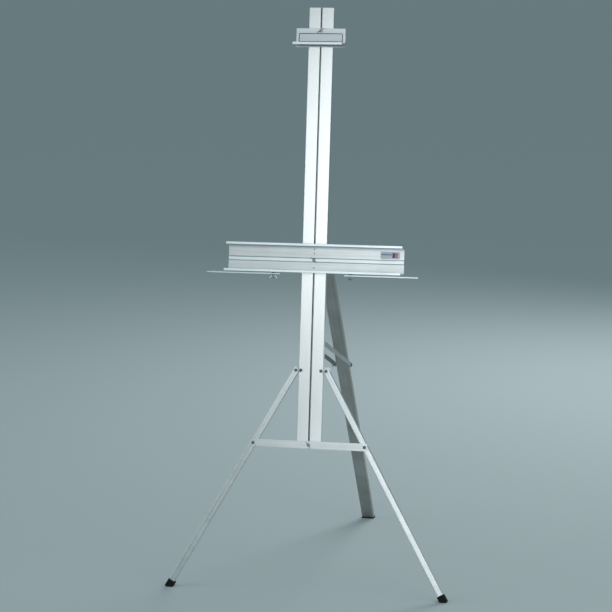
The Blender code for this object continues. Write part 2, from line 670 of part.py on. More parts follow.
def brace_stud_place(fold):
    """Where the rear leg's stud is, in the brace's own plane, when the leg folds by an angle."""
    leg = REAR_LEG_OPEN - fold
    y = REAR_HINGE_Y + BRACE_STUD_DISTANCE * math.sin(leg) + BRACE_STUD_OFFSET * math.cos(leg)
    z = REAR_HINGE_Z - BRACE_STUD_DISTANCE * math.cos(leg) + BRACE_STUD_OFFSET * math.sin(leg)
    y -= BRACE_PIVOT_Y
    z -= BRACE_PIVOT_Z
    turn = BRACE_OPEN - BRACE_TURN_RATIO * fold
    return (y * math.cos(turn) + z * math.sin(turn), z * math.cos(turn) - y * math.sin(turn))


def brace_open_angle():
    leg = REAR_LEG_OPEN
    y = REAR_HINGE_Y + BRACE_STUD_DISTANCE * math.sin(leg) + BRACE_STUD_OFFSET * math.cos(leg)
    z = REAR_HINGE_Z - BRACE_STUD_DISTANCE * math.cos(leg) + BRACE_STUD_OFFSET * math.sin(leg)
    return math.atan2(y - BRACE_PIVOT_Y, BRACE_PIVOT_Z - z)


BRACE_OPEN = brace_open_angle()


def brace_bar_mesh():
    """A flat bar along -Z from its rivet at the origin, with an open notch for the rear leg's stud."""
    half = BRACE_HEIGHT / 2
    stud = brace_stud_place(0.0)
    end = stud[1] - 0.010
    outline = arc((0.0, 0.0), half, 0, 180, 10) + arc((0.0, end + half), half, 180, 360, 10)
    bar = plate([outline, circle((0.0, 0.0), M5 + CLEARANCE_HOLE)], BRACE_THICKNESS)
    path = [brace_stud_place(math.radians(0.25 * step)) for step in range(9)]
    notch = plate([notch_outline(path, M5 + 0.0007)], 0.010)
    return moved(cut(bar, [notch]), rotation=FACE_SIDE)


def make_rear_leg(mast, wing_nut):
    hinge = frame_empty("rear_hinge", (0.0, REAR_HINGE_Y, REAR_HINGE_Z), (REAR_LEG_OPEN, 0.0, 0.0), mast)
    place("rear_leg_channel", rear_leg_mesh(), "weathered_aluminium", hinge)
    place("rear_leg_pad", rear_pad_mesh(), "black_rubber", hinge, (0.0, 0.0, -rear_leg_length()),
          (-REAR_SLOPE, 0.0, 0.0))
    stud_y = BRACE_STUD_OFFSET
    stud_z = -BRACE_STUD_DISTANCE
    nut_base = BRACE_OUTER_X + WASHER_THICKNESS + GAP
    stud = bolt_mesh(M5, BRACE_OUTER_X + nut_base + WING_NUT_HEIGHT + 0.004, 0.0054)
    place("brace_stud", stud, "zinc_steel", hinge, (BRACE_OUTER_X, stud_y, stud_z), HEAD_RIGHT)
    half = BRACE_INNER_X - GAP
    sleeve = washer_mesh(M5 + CLEARANCE_HOLE, BRACE_SLEEVE, 2 * half)
    place("brace_sleeve", sleeve, "mill_aluminium", hinge, (-half, stud_y, stud_z), HEAD_RIGHT)
    place("brace_stud_washer", washer_mesh(M5 + CLEARANCE_HOLE, 0.0062), "zinc_steel", hinge,
          (-BRACE_OUTER_X, stud_y, stud_z), HEAD_LEFT)
    place("brace_wing_nut", wing_nut, "zinc_steel", hinge, (-nut_base, stud_y, stud_z), HEAD_LEFT)

    pivot = frame_empty("brace_pivot", (0.0, BRACE_PIVOT_Y, BRACE_PIVOT_Z), (BRACE_OPEN, 0.0, 0.0), mast)
    bar = brace_bar_mesh()
    for name, side in SIDES:
        place("brace_bar_" + name, bar, "mill_aluminium", pivot,
              (side * (BRACE_INNER_X + BRACE_THICKNESS / 2), 0.0, 0.0))


# ------------------------------------------------------------------ tray
def tray_mesh():
    """A long channel: a web against the mast, a canvas ledge at the top and a brush shelf below."""
    web = -TRAY_BACK - TRAY_WALL
    band = web - TRAY_BAND
    low = TRAY_BOLT_Z - TRAY_BAND_HEIGHT / 2
    high = TRAY_BOLT_Z + TRAY_BAND_HEIGHT / 2
    shelf = -TRAY_BACK - TRAY_SHELF_DEPTH
    ledge = -TRAY_BACK - TRAY_FLANGE_DEPTH
    top = TRAY_HEIGHT
    section = [(-TRAY_BACK, 0.0), (shelf, 0.0), (shelf, TRAY_LIP), (shelf + TRAY_WALL, TRAY_LIP),
               (shelf + TRAY_WALL, TRAY_WALL), (web, TRAY_WALL), (web, low), (band, low + TRAY_BAND),
               (band, high - TRAY_BAND), (web, high), (web, top - TRAY_WALL), (ledge, top - TRAY_WALL),
               (ledge, top + TRAY_TOP_LIP), (ledge + TRAY_WALL, top + TRAY_TOP_LIP),
               (ledge + TRAY_WALL, top), (-TRAY_BACK, top)]
    body = moved(plate([rounded(section, 0.0005)], TRAY_LENGTH), (TRAY_OFFSET, 0.0, 0.0), FACE_SIDE)
    holes = [drill(M5 + CLEARANCE_HOLE, 0.02, (0.0, 0.0, TRAY_BOLT_Z))]
    for z in (0.0168, 0.0662, 0.0807):
        holes.append(drill(0.0019, 0.02, (0.0, 0.0, z)))
    for _, side in SIDES:
        holes.append(drill(M5 + CLEARANCE_HOLE, 0.02, (side * BAR_SCREW_X, BAR_Y, 0.0), HEAD_DOWN))
    return cut(body, holes)


def extension_bar_mesh(side):
    """A slotted flat bar that slides out from under the shelf."""
    middle = side * (BAR_INNER_X + BAR_LENGTH / 2)
    start = (side * (BAR_SCREW_X - 0.0004), 0.0)
    end = (side * (BAR_SCREW_X + BAR_TRAVEL + 0.0004), 0.0)
    slot = long_hole(start, end, M5 + 0.0004)
    return plate([rectangle(BAR_LENGTH, BAR_WIDTH, 0.003, (middle, 0.0)), slot], BAR_THICKNESS)


def make_tray(mast, wing_nut):
    tray = frame_empty("tray_frame", (0.0, 0.0, TRAY_BOTTOM), parent=mast)
    place("tray_extrusion", tray_mesh(), "mill_aluminium", tray)
    clamp = frame_empty("tray_clamp", (0.0, 0.0, TRAY_BOLT_Z), parent=tray)
    make_slot_clamp("tray", clamp, TRAY_BACK + TRAY_WALL + TRAY_BAND + GAP, wing_nut, 45.0)
    sticker = plate([rectangle(STICKER_WIDTH, STICKER_HEIGHT, 0.002)], STICKER_THICKNESS)
    face = TRAY_BACK + TRAY_WALL + GAP
    place("tray_sticker", sticker, "printed_label", tray,
          (STICKER_X, -face - STICKER_THICKNESS / 2, STICKER_Z), FACE_FRONT)

    bar_top = -BAR_SPACER - 2 * GAP
    bar_bottom = bar_top - BAR_THICKNESS
    washer_top = bar_bottom - GAP
    nut_top = washer_top - WASHER_THICKNESS - GAP
    screw = bolt_mesh(M5, TRAY_WALL + GAP - nut_top + WING_NUT_HEIGHT + 0.004, 0.0048, 0.0024)
    spacer = washer_mesh(M5 + CLEARANCE_HOLE, 0.0060, BAR_SPACER)
    washer = washer_mesh(M5 + CLEARANCE_HOLE, 0.0062)
    for name, side in SIDES:
        x = side * BAR_SCREW_X
        place("extension_bar_" + name, extension_bar_mesh(side), "mill_aluminium", tray,
              (0.0, BAR_Y, bar_top - BAR_THICKNESS / 2))
        place("bar_screw_" + name, screw, "zinc_steel", tray, (x, BAR_Y, TRAY_WALL + GAP))
        place("bar_spacer_" + name, spacer, "grey_nylon", tray, (x, BAR_Y, -GAP), HEAD_DOWN)
        place("bar_washer_" + name, washer, "zinc_steel", tray, (x, BAR_Y, washer_top), HEAD_DOWN)
        place("bar_wing_nut_" + name, wing_nut, "zinc_steel", tray, (x, BAR_Y, nut_top),
              (math.pi, 0.0, 0.0 if side < 0 else math.radians(75)))


# ------------------------------------------------------------------ canvas holder
def holder_mesh():
    """A plate against the mast with a flange that reaches over the canvas and a lip that grips it."""
    web = -TRAY_BACK - TRAY_WALL
    front = -TRAY_BACK - HOLDER_FLANGE_DEPTH
    under = HOLDER_FLANGE_Z
    over = HOLDER_FLANGE_Z + TRAY_WALL
    section = [(-TRAY_BACK, 0.0), (web, 0.0), (web, under), (front + TRAY_WALL, under),
               (front + TRAY_WALL, over - HOLDER_LIP), (front, over - HOLDER_LIP), (front, over),
               (web, over), (web, HOLDER_HEIGHT), (-TRAY_BACK, HOLDER_HEIGHT)]
    body = moved(plate([rounded(section, 0.0005)], HOLDER_LENGTH), rotation=FACE_SIDE)
    return cut(body, [drill(M5 + CLEARANCE_HOLE, 0.02, (0.0, 0.0, HOLDER_BOLT_Z))])


def make_holder(mast, wing_nut):
    holder = frame_empty("holder_frame", (0.0, 0.0, HOLDER_BOTTOM), parent=mast)
    place("holder_extrusion", holder_mesh(), "mill_aluminium", holder)
    label = plate([rectangle(LABEL_WIDTH, LABEL_HEIGHT, 0.003)], LABEL_THICKNESS)
    face = TRAY_BACK + TRAY_WALL + GAP
    place("holder_label", label, "printed_label", holder, (0.0, -face - LABEL_THICKNESS / 2, LABEL_Z),
          FACE_FRONT)
    clamp = frame_empty("holder_clamp", (0.0, 0.0, HOLDER_BOLT_Z), parent=holder)
    make_slot_clamp("holder", clamp, face, wing_nut, -35.0)


def make_easel():
    mast = frame_empty("mast_frame", (0.0, FRONT_FOOT_Y, 0.0), (-MAST_TILT, 0.0, 0.0))
    wing_nut = wing_nut_mesh()
    make_mast(mast)
    make_front_legs(mast)
    make_crossbar(mast, wing_nut)
    make_rear_leg(mast, wing_nut)
    make_tray(mast, wing_nut)
    make_holder(mast, wing_nut)


make_easel()
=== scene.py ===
"""The look of the tripod field easel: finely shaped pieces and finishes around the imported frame."""

import math

import bmesh
import bpy
from mathutils import Euler, Matrix, Vector


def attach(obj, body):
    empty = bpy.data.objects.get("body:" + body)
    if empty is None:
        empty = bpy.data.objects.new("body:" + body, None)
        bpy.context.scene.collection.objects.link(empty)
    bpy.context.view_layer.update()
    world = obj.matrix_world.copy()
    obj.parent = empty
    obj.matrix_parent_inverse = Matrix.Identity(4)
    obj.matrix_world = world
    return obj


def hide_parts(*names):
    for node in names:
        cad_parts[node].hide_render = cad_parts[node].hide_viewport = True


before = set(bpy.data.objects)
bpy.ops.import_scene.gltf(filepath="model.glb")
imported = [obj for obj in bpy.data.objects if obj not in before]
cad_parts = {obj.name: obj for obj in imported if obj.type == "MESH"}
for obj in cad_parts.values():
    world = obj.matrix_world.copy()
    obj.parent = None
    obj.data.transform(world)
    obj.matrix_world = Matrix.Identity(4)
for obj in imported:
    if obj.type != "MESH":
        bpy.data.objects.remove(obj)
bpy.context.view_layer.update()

# ---- dimensions, in metres
MAST_TILT = math.radians(8.0)
FRONT_FOOT_Y = -0.5755
GAP = 0.0003

MAST_WIDTH = 0.084
MAST_DEPTH = 0.019
MAST_LENGTH = 1.500
MAST_BOTTOM = 0.498
MAST_WALL = 0.002
MAST_LIP = 0.014
SLOT_WIDTH = 0.006
SLOT_CAVITY_WIDTH = 0.022
SLOT_CAVITY_DEPTH = 0.006
MAST_MIDDLE = MAST_BOTTOM + MAST_LENGTH / 2
MAST_BACK = MAST_DEPTH + GAP

BRACKET_BOLT_X = 0.0350
BRACKET_THICKNESS = 0.003
STRAP_BACK = MAST_BACK + BRACKET_THICKNESS
HINGE_PLATE = 0.0025
HINGE_SCREWS = ((-0.035, -0.020), (0.035, -0.020), (-0.035, 0.020), (0.035, 0.020))
BRACE_PLATE = 0.0022
BRACE_SCREWS = ((-0.0355, 0.0), (0.0355, 0.0))

LEG_SECTION = 0.019
LEG_WALL = 0.0015
LEG_PIVOT_X = 0.0523
LEG_PIVOT_Z = 0.764
LEG_SPREAD = math.radians(29.3)
LEG_CENTRE_Y = LEG_SECTION / 2
TIP_WIDTH = 0.026
TIP_COLLAR = 0.0245
TIP_TOE = 0.0045
TIP_GRIP = 0.014
TIP_ROUNDING = 0.0035

CROSSBAR_Z = 0.511
CROSSBAR_HEIGHT = 0.026
CROSSBAR_THICKNESS = 0.003
CROSSBAR_BACK = 0.0008
CROSSBAR_TURN_RATIO = 3.07
STUD_RADIUS = 0.003
STUD_DISTANCE = (LEG_PIVOT_Z - CROSSBAR_Z) / math.cos(LEG_SPREAD)
STUD_X = LEG_PIVOT_X + STUD_DISTANCE * math.sin(LEG_SPREAD)

REAR_HINGE_Z = 1.290
REAR_HINGE_Y = 0.0418
REAR_LEG_WIDTH = 0.044
REAR_LEG_DEPTH = 0.020
REAR_LEG_WALL = 0.002
REAR_LEG_OPEN = math.radians(43.8)
REAR_SLOPE = REAR_LEG_OPEN - MAST_TILT
REAR_PAD_THICKNESS = 0.005
HINGE_EAR_X = REAR_LEG_WIDTH / 2 + 0.0004

BRACE_PIVOT_Y = 0.0315
BRACE_PIVOT_Z = 0.864
BRACE_STUD_DISTANCE = 0.728
BRACE_STUD_OFFSET = 0.003
BRACE_HEIGHT = 0.016
BRACE_THICKNESS = 0.003
BRACE_INNER_X = 0.0275
BRACE_OUTER_X = BRACE_INNER_X + BRACE_THICKNESS + GAP
BRACE_EAR_X = BRACE_INNER_X - 0.0004 - BRACE_PLATE
BRACE_SLEEVE = 0.0045
BRACE_TURN_RATIO = 1.81

TRAY_LENGTH = 0.610
TRAY_OFFSET = 0.006
TRAY_BOTTOM = 1.0968
TRAY_HEIGHT = 0.0930
TRAY_SHELF_DEPTH = 0.070
TRAY_FLANGE_DEPTH = 0.045
TRAY_LIP = 0.0085
TRAY_TOP_LIP = 0.0060
TRAY_WALL = 0.0024
TRAY_BOLT_Z = 0.0435
TRAY_BACK = 0.0008
TRAY_BAND = 0.0014
TRAY_BAND_HEIGHT = 0.014
TRAY_HOLE = 0.0019  # radius and heights of the small holes in the tray's web
TRAY_HOLES_Z = (0.0168, 0.0662, 0.0807)

STICKER_WIDTH = 0.066
STICKER_HEIGHT = 0.0245
STICKER_THICKNESS = 0.0003
STICKER_X = 0.2630
STICKER_Z = 0.0665
STICKER_PRINT = (  # colour, and reach along the sticker and up it
    ((0.13, 0.20, 0.46), (-0.0300, 0.0050), (0.0010, 0.0042)),
    ((0.035, 0.06, 0.30), (0.0075, 0.0160), (-0.0085, 0.0085)),
    ((0.62, 0.20, 0.20), (0.0170, 0.0255), (-0.0085, 0.0085)),
)

BAR_LENGTH = 0.257
BAR_WIDTH = 0.014
BAR_THICKNESS = 0.004
BAR_INNER_X = 0.110
BAR_SCREW_X = 0.133
BAR_Y = -0.033
BAR_TRAVEL = 0.105
BAR_SPACER = 0.0034

HOLDER_LENGTH = 0.170
HOLDER_BOTTOM = 1.8640
HOLDER_HEIGHT = 0.0638
HOLDER_FLANGE_Z = 0.0105
HOLDER_FLANGE_DEPTH = 0.0595
HOLDER_LIP = 0.0088
HOLDER_BOLT_Z = 0.0560
LABEL_WIDTH = 0.156
LABEL_HEIGHT = 0.033
LABEL_THICKNESS = 0.0004
LABEL_Z = 0.0320
LABEL_MARGIN = 0.0030  # around the border line, whose corners are round
LABEL_CORNER = 0.004
LABEL_LINE = 0.0023

M5 = 0.0025
M6 = 0.0030
M5_PITCH = 0.0008
SCREW_RADIUS = 0.0018
SCREW_HEAD = 0.0034
CLEARANCE_HOLE = 0.0003
HOLE_M5 = M5 + CLEARANCE_HOLE
HOLE_M6 = M6 + CLEARANCE_HOLE
HOLE_SCREW = SCREW_RADIUS + CLEARANCE_HOLE
BOLT_HEAD_HEIGHT = 0.0030
NUT_HEIGHT = 0.0045
WASHER_THICKNESS = 0.0010
WING_NUT_HEIGHT = 0.0070
WASHER_RADIUS = 0.0062
NUT_M5 = 0.0092  # across the corners
NUT_M6 = 0.0112
BOLT_END = 0.003  # length of a bolt past its nut, and past its wing nut
STUD_END = 0.004
MAST_BOLT_HEAD = 0.0058  # radii of the heads
PIVOT_BOLT_HEAD = 0.0056
BRACE_STUD_HEAD = 0.0054
BAR_SCREW_HEAD = 0.0048
NOTCH_ROOM = 0.0007  # between a stud and the notch that takes it

LONG_DRILL = 0.060  # lengths of the drills
LIP_DRILL = 0.008
LEG_DRILL = 0.030
WALL_DRILL = 0.02
EXTRUSION_EDGE = 0.00022  # widths of the rounded edges
PLATE_EDGE = 0.00035
SMOOTH_ANGLE = 32.0  # in degrees; a sharper edge stays sharp in the light

FACE_FRONT = (math.pi / 2, 0.0, 0.0)
FACE_SIDE = (math.pi / 2, 0.0, math.pi / 2)
HEAD_FRONT = (math.pi / 2, 0.0, 0.0)
HEAD_BACK = (-math.pi / 2, 0.0, 0.0)
FLATS_APART = (-math.pi / 2, math.pi / 6, 0.0)
HEAD_RIGHT = (0.0, math.pi / 2, 0.0)
HEAD_LEFT = (0.0, -math.pi / 2, 0.0)
HEAD_DOWN = (math.pi, 0.0, 0.0)
SIDES = (("left", -1), ("right", 1))

# ---- camera and light
PICTURE = 612  # width and height of the picture, in pixels
SENSOR = 36.0
FOCAL_PIXELS = 2472.0
CAMERA_PLACE = (1.7836, -7.9838 + FRONT_FOOT_Y, 2.2568)
CAMERA_TARGET = (0.0065, FRONT_FOOT_Y, 0.9956)
FAR_CLIP = 400.0
FLOOR_RADIUS = 120.0
FLOOR_Z = -0.0002
BLACK = (0.0, 0.0, 0.0)
WHITE = (1.0, 1.0, 1.0)
FLOOR_COLOUR = (0.36, 0.41, 0.425)
WORLD_COLOURS = ((0.137, 0.193, 0.208), (0.46, 0.58, 0.60))
LIGHTS = (  # name, place, target, size, power, colour
    ("front_softbox", (-0.55, -6.9, 2.50), (0.0, -0.5, 1.35), (2.4, 1.75), 18.5, WHITE),
    ("front_card", (1.50, -9.0, 2.5), (0.0, -0.5, 1.2), (6.0, 4.2), 42.0, (0.90, 0.97, 1.0)),
    ("low_card", (-0.15, -6.2, 0.56), (0.2, -0.6, 0.5), (1.65, 1.0), 8.5, WHITE),
    ("left_softbox", (-4.8, -2.5, 3.4), (0.0, -0.2, 0.9), (4.0, 4.0), 70.0, WHITE),
    ("right_softbox", (4.6, -3.2, 2.9), (0.0, -0.2, 0.8), (5.0, 5.0), 92.0, WHITE),
    ("back_softbox", (1.5, 4.6, 3.6), (0.0, 0.2, 0.9), (3.0, 2.4), 150.0, WHITE),
)
EDGE_STARTS = 0.02  # turn of the rounded normal where wear begins and is full
EDGE_FULL = 0.25


def turn(rotation):
    return Euler(rotation).to_matrix().to_4x4()


def shift(x, y, z):
    return Matrix.Translation((x, y, z))


MAST = shift(0.0, FRONT_FOOT_Y, 0.0) @ turn((-MAST_TILT, 0.0, 0.0))
TRAY = MAST @ shift(0.0, 0.0, TRAY_BOTTOM)
HOLDER = MAST @ shift(0.0, 0.0, HOLDER_BOTTOM)
CROSSBAR = MAST @ shift(0.0, 0.0, CROSSBAR_Z)
REAR = MAST @ shift(0.0, REAR_HINGE_Y, REAR_HINGE_Z) @ turn((REAR_LEG_OPEN, 0.0, 0.0))


def leg_frame(side):
    return MAST @ shift(side * LEG_PIVOT_X, LEG_CENTRE_Y, LEG_PIVOT_Z) @ turn((0.0, -side * LEG_SPREAD, 0.0))


# ---- outlines
def arc(centre, radius, start, end, count):
    points = []
    for index in range(count + 1):
        angle = math.radians(start + (end - start) * index / count)
        points.append((centre[0] + radius * math.cos(angle), centre[1] + radius * math.sin(angle)))
    return points


def circle(centre, radius, count=40):
    return arc(centre, radius, 0.0, 360.0, count)[:-1]


def rounded(corners, radius, count=4):
    """A closed outline with its corners rounded; radius is one number or one for each corner."""
    points = []
    radii = radius if isinstance(radius, (list, tuple)) else [radius] * len(corners)
    for index, corner in enumerate(corners):
        before = corners[index - 1]
        after = corners[(index + 1) % len(corners)]
        to_before = math.dist(corner, before)
        to_after = math.dist(corner, after)
        reach = min(radii[index], 0.45 * to_before, 0.45 * to_after)
        if reach <= 0:
            points.append(corner)
            continue
        start = [corner[k] + (before[k] - corner[k]) * reach / to_before for k in (0, 1)]
        end = [corner[k] + (after[k] - corner[k]) * reach / to_after for k in (0, 1)]
        for step in range(count + 1):
            t = step / count
            points.append(tuple((1 - t) ** 2 * start[k] + 2 * t * (1 - t) * corner[k] + t ** 2 * end[k]
                                for k in (0, 1)))
    return points


def rectangle(width, height, radius=0.0, centre=(0.0, 0.0), count=8):
    x = width / 2
    y = height / 2
    corners = [(centre[0] + cx, centre[1] + cy) for cx, cy in ((-x, -y), (x, -y), (x, y), (-x, y))]
    return rounded(corners, radius, count) if radius else corners


def long_hole(start, end, radius, count=16):
    angle = math.degrees(math.atan2(end[1] - start[1], end[0] - start[0]))
    first = arc(start, radius, angle + 90, angle + 270, count)
    return first + arc(end, radius, angle - 90, angle + 90, count)


def notch_outline(path, radius, count=16):
    """The outline swept by a round stud along a path, open at the path's last point."""
    left = []
    right = []
    for index, point in enumerate(path):
        before = path[max(index - 1, 0)]
        after = path[min(index + 1, len(path) - 1)]
        run = math.dist(before, after)
        side = (-(after[1] - before[1]) / run * radius, (after[0] - before[0]) / run * radius)
        left.append((point[0] + side[0], point[1] + side[1]))
        right.append((point[0] - side[0], point[1] - side[1]))
    heading = math.degrees(math.atan2(path[1][1] - path[0][1], path[1][0] - path[0][0]))
    cap = arc(path[0], radius, heading + 90, heading + 270, count)
    return cap[1:-1] + right + left[::-1]


# ---- meshes
def linked(name, data):
    thing = bpy.data.objects.new(name, data)
    bpy.context.scene.collection.objects.link(thing)
    return thing


def temporary(data):
    return linked("temporary", data)


def mesh_of(shape, name):
    mesh = bpy.data.meshes.new(name)
    shape.to_mesh(mesh)
    shape.free()
    return mesh


def evaluated_mesh(thing):
    bpy.context.view_layer.update()
    mesh = bpy.data.meshes.new_from_object(thing.evaluated_get(bpy.context.evaluated_depsgraph_get()))
    bpy.data.objects.remove(thing, do_unlink=True)
    return mesh


def welded(mesh, distance=1e-6):
    shape = bmesh.new()
    shape.from_mesh(mesh)
    bmesh.ops.remove_doubles(shape, verts=shape.verts, dist=distance)
    bmesh.ops.recalc_face_normals(shape, faces=shape.faces)
    shape.to_mesh(mesh)
    shape.free()
    return mesh


def plate(outlines, thickness):
    """Flat outlines, the first one outside and any others holes, with a thickness along Z."""
    curve = bpy.data.curves.new("outline", "CURVE")
    curve.dimensions = "2D"
    curve.fill_mode = "BOTH"
    curve.extrude = thickness / 2
    for outline in outlines:
        spline = curve.splines.new("POLY")
        spline.points.add(len(outline) - 1)
        for point, (x, y) in zip(spline.points, outline):
            point.co = (x, y, 0.0, 1.0)
        spline.use_cyclic_u = True
    return welded(evaluated_mesh(temporary(curve)))


def moved(mesh, location=(0.0, 0.0, 0.0), rotation=(0.0, 0.0, 0.0)):
    copy = mesh.copy()
    copy.transform(Matrix.Translation(location) @ turn(rotation))
    return copy


def boolean(base, others, operation):
    for other in others:
        body = temporary(base)
        helper = temporary(other)
        modifier = body.modifiers.new("boolean", "BOOLEAN")
        modifier.operation = operation
        modifier.object = helper
        modifier.solver = "EXACT"
        base = welded(evaluated_mesh(body))
        bpy.data.objects.remove(helper, do_unlink=True)
    return base


def cut(base, cutters):
    return boolean(base, cutters, "DIFFERENCE")


def joined(base, others):
    return boolean(base, others, "UNION")


def eased(mesh, width, segments=2, angle=28.0):
    """The mesh with its flat faces merged and its sharp edges rounded off."""
    shape = bmesh.new()
    shape.from_mesh(mesh)
    bmesh.ops.dissolve_limit(shape, angle_limit=math.radians(0.6), verts=shape.verts, edges=shape.edges)
    shape.to_mesh(mesh)
    shape.free()
    body = temporary(mesh)
    bevel = body.modifiers.new("edges", "BEVEL")
    bevel.width = width
    bevel.segments = segments
    bevel.limit_method = "ANGLE"
    bevel.angle_limit = math.radians(angle)
    bevel.use_clamp_overlap = True
    return evaluated_mesh(body)


def shaded(mesh):
    """The mesh with smooth rounded edges and flat faces that stay flat in the light."""
    mesh.shade_smooth()
    mesh.set_sharp_from_angle(angle=math.radians(SMOOTH_ANGLE))
    body = temporary(mesh.copy())
    normals = body.modifiers.new("normals", "WEIGHTED_NORMAL")
    normals.mode = "FACE_AREA"
    normals.weight = 50
    normals.keep_sharp = True
    return evaluated_mesh(body)


def turned(profile, steps=36, thread=None):
    """A profile of (radius, height), from top to bottom on its outer side, turned about Z.

    thread is (top, bottom, pitch, depth): there the surface follows a screw thread.
    """
    rows = []
    for index, (radius, height) in enumerate(profile):
        rows.append((radius, height, 0.0))
        if thread and index + 1 < len(profile):
            top, bottom, pitch, depth = thread
            if abs(height - top) < 1e-9 and abs(profile[index + 1][1] - bottom) < 1e-9:
                count = int((top - bottom) / pitch * 8)
                for step in range(1, count):
                    fade = min(1.0, 8.0 * step / count, 8.0 * (count - step) / count)
                    rows.append((radius, top + (bottom - top) * step / count, depth * fade))
    shape = bmesh.new()
    rings = []
    for radius, height, depth in rows:
        if radius < 1e-7:
            rings.append([shape.verts.new((0.0, 0.0, height))])
            continue
        ring = []
        for step in range(steps):
            angle = 2 * math.pi * step / steps
            reach = radius
            if depth:
                phase = (height / thread[2] - step / steps) % 1.0
                reach = radius - depth * (1.0 - min(1.0, 1.25 * abs(2.0 * phase - 1.0)))
            ring.append(shape.verts.new((reach * math.cos(angle), reach * math.sin(angle), height)))
        rings.append(ring)
    for upper, lower in zip(rings, rings[1:]):
        for step in range(steps):
            after = (step + 1) % steps
            corners = [upper[step % len(upper)], lower[step % len(lower)],
                       lower[after % len(lower)], upper[after % len(upper)]]
            if len(upper) == 1:
                corners = [upper[0], lower[step], lower[after]]
            if len(lower) == 1:
                corners = [upper[step], lower[0], upper[after]]
            shape.faces.new(corners)
    return mesh_of(shape, "turned")


def ring_mesh(hole, outer, thickness, edge=0.00012, steps=48):
    """A flat ring on Z = 0 with softened edges."""
    edge = min(edge, thickness * 0.3)
    profile = [(hole, thickness - edge), (hole + edge, thickness), (outer - edge, thickness),
               (outer, thickness - edge), (outer, edge), (outer - edge, 0.0), (hole + edge, 0.0),
               (hole, edge)]
    shape = bmesh.new()
    rings = []
    for radius, height in profile:
        rings.append([shape.verts.new((radius * math.cos(2 * math.pi * k / steps),
                                       radius * math.sin(2 * math.pi * k / steps), height))
                      for k in range(steps)])
    for index, upper in enumerate(rings):
        lower = rings[(index + 1) % len(rings)]
        for k in range(steps):
            shape.faces.new([upper[k], lower[k], lower[(k + 1) % steps], upper[(k + 1) % steps]])
    return mesh_of(shape, "ring")


def drill(radius, length, location, rotation=HEAD_FRONT, steps=36):
    half = length / 2
    rod = turned([(0.0, half), (radius, half), (radius, -half), (0.0, -half)], steps)
    return moved(rod, location, rotation)


def block(width, depth, height, rounding=0.0, segments=3):
    shape = bmesh.new()
    bmesh.ops.create_cube(shape, size=1.0, matrix=Matrix.Diagonal((width, depth, height, 1.0)))
    mesh = mesh_of(shape, "block")
    return eased(mesh, rounding, segments) if rounding else mesh


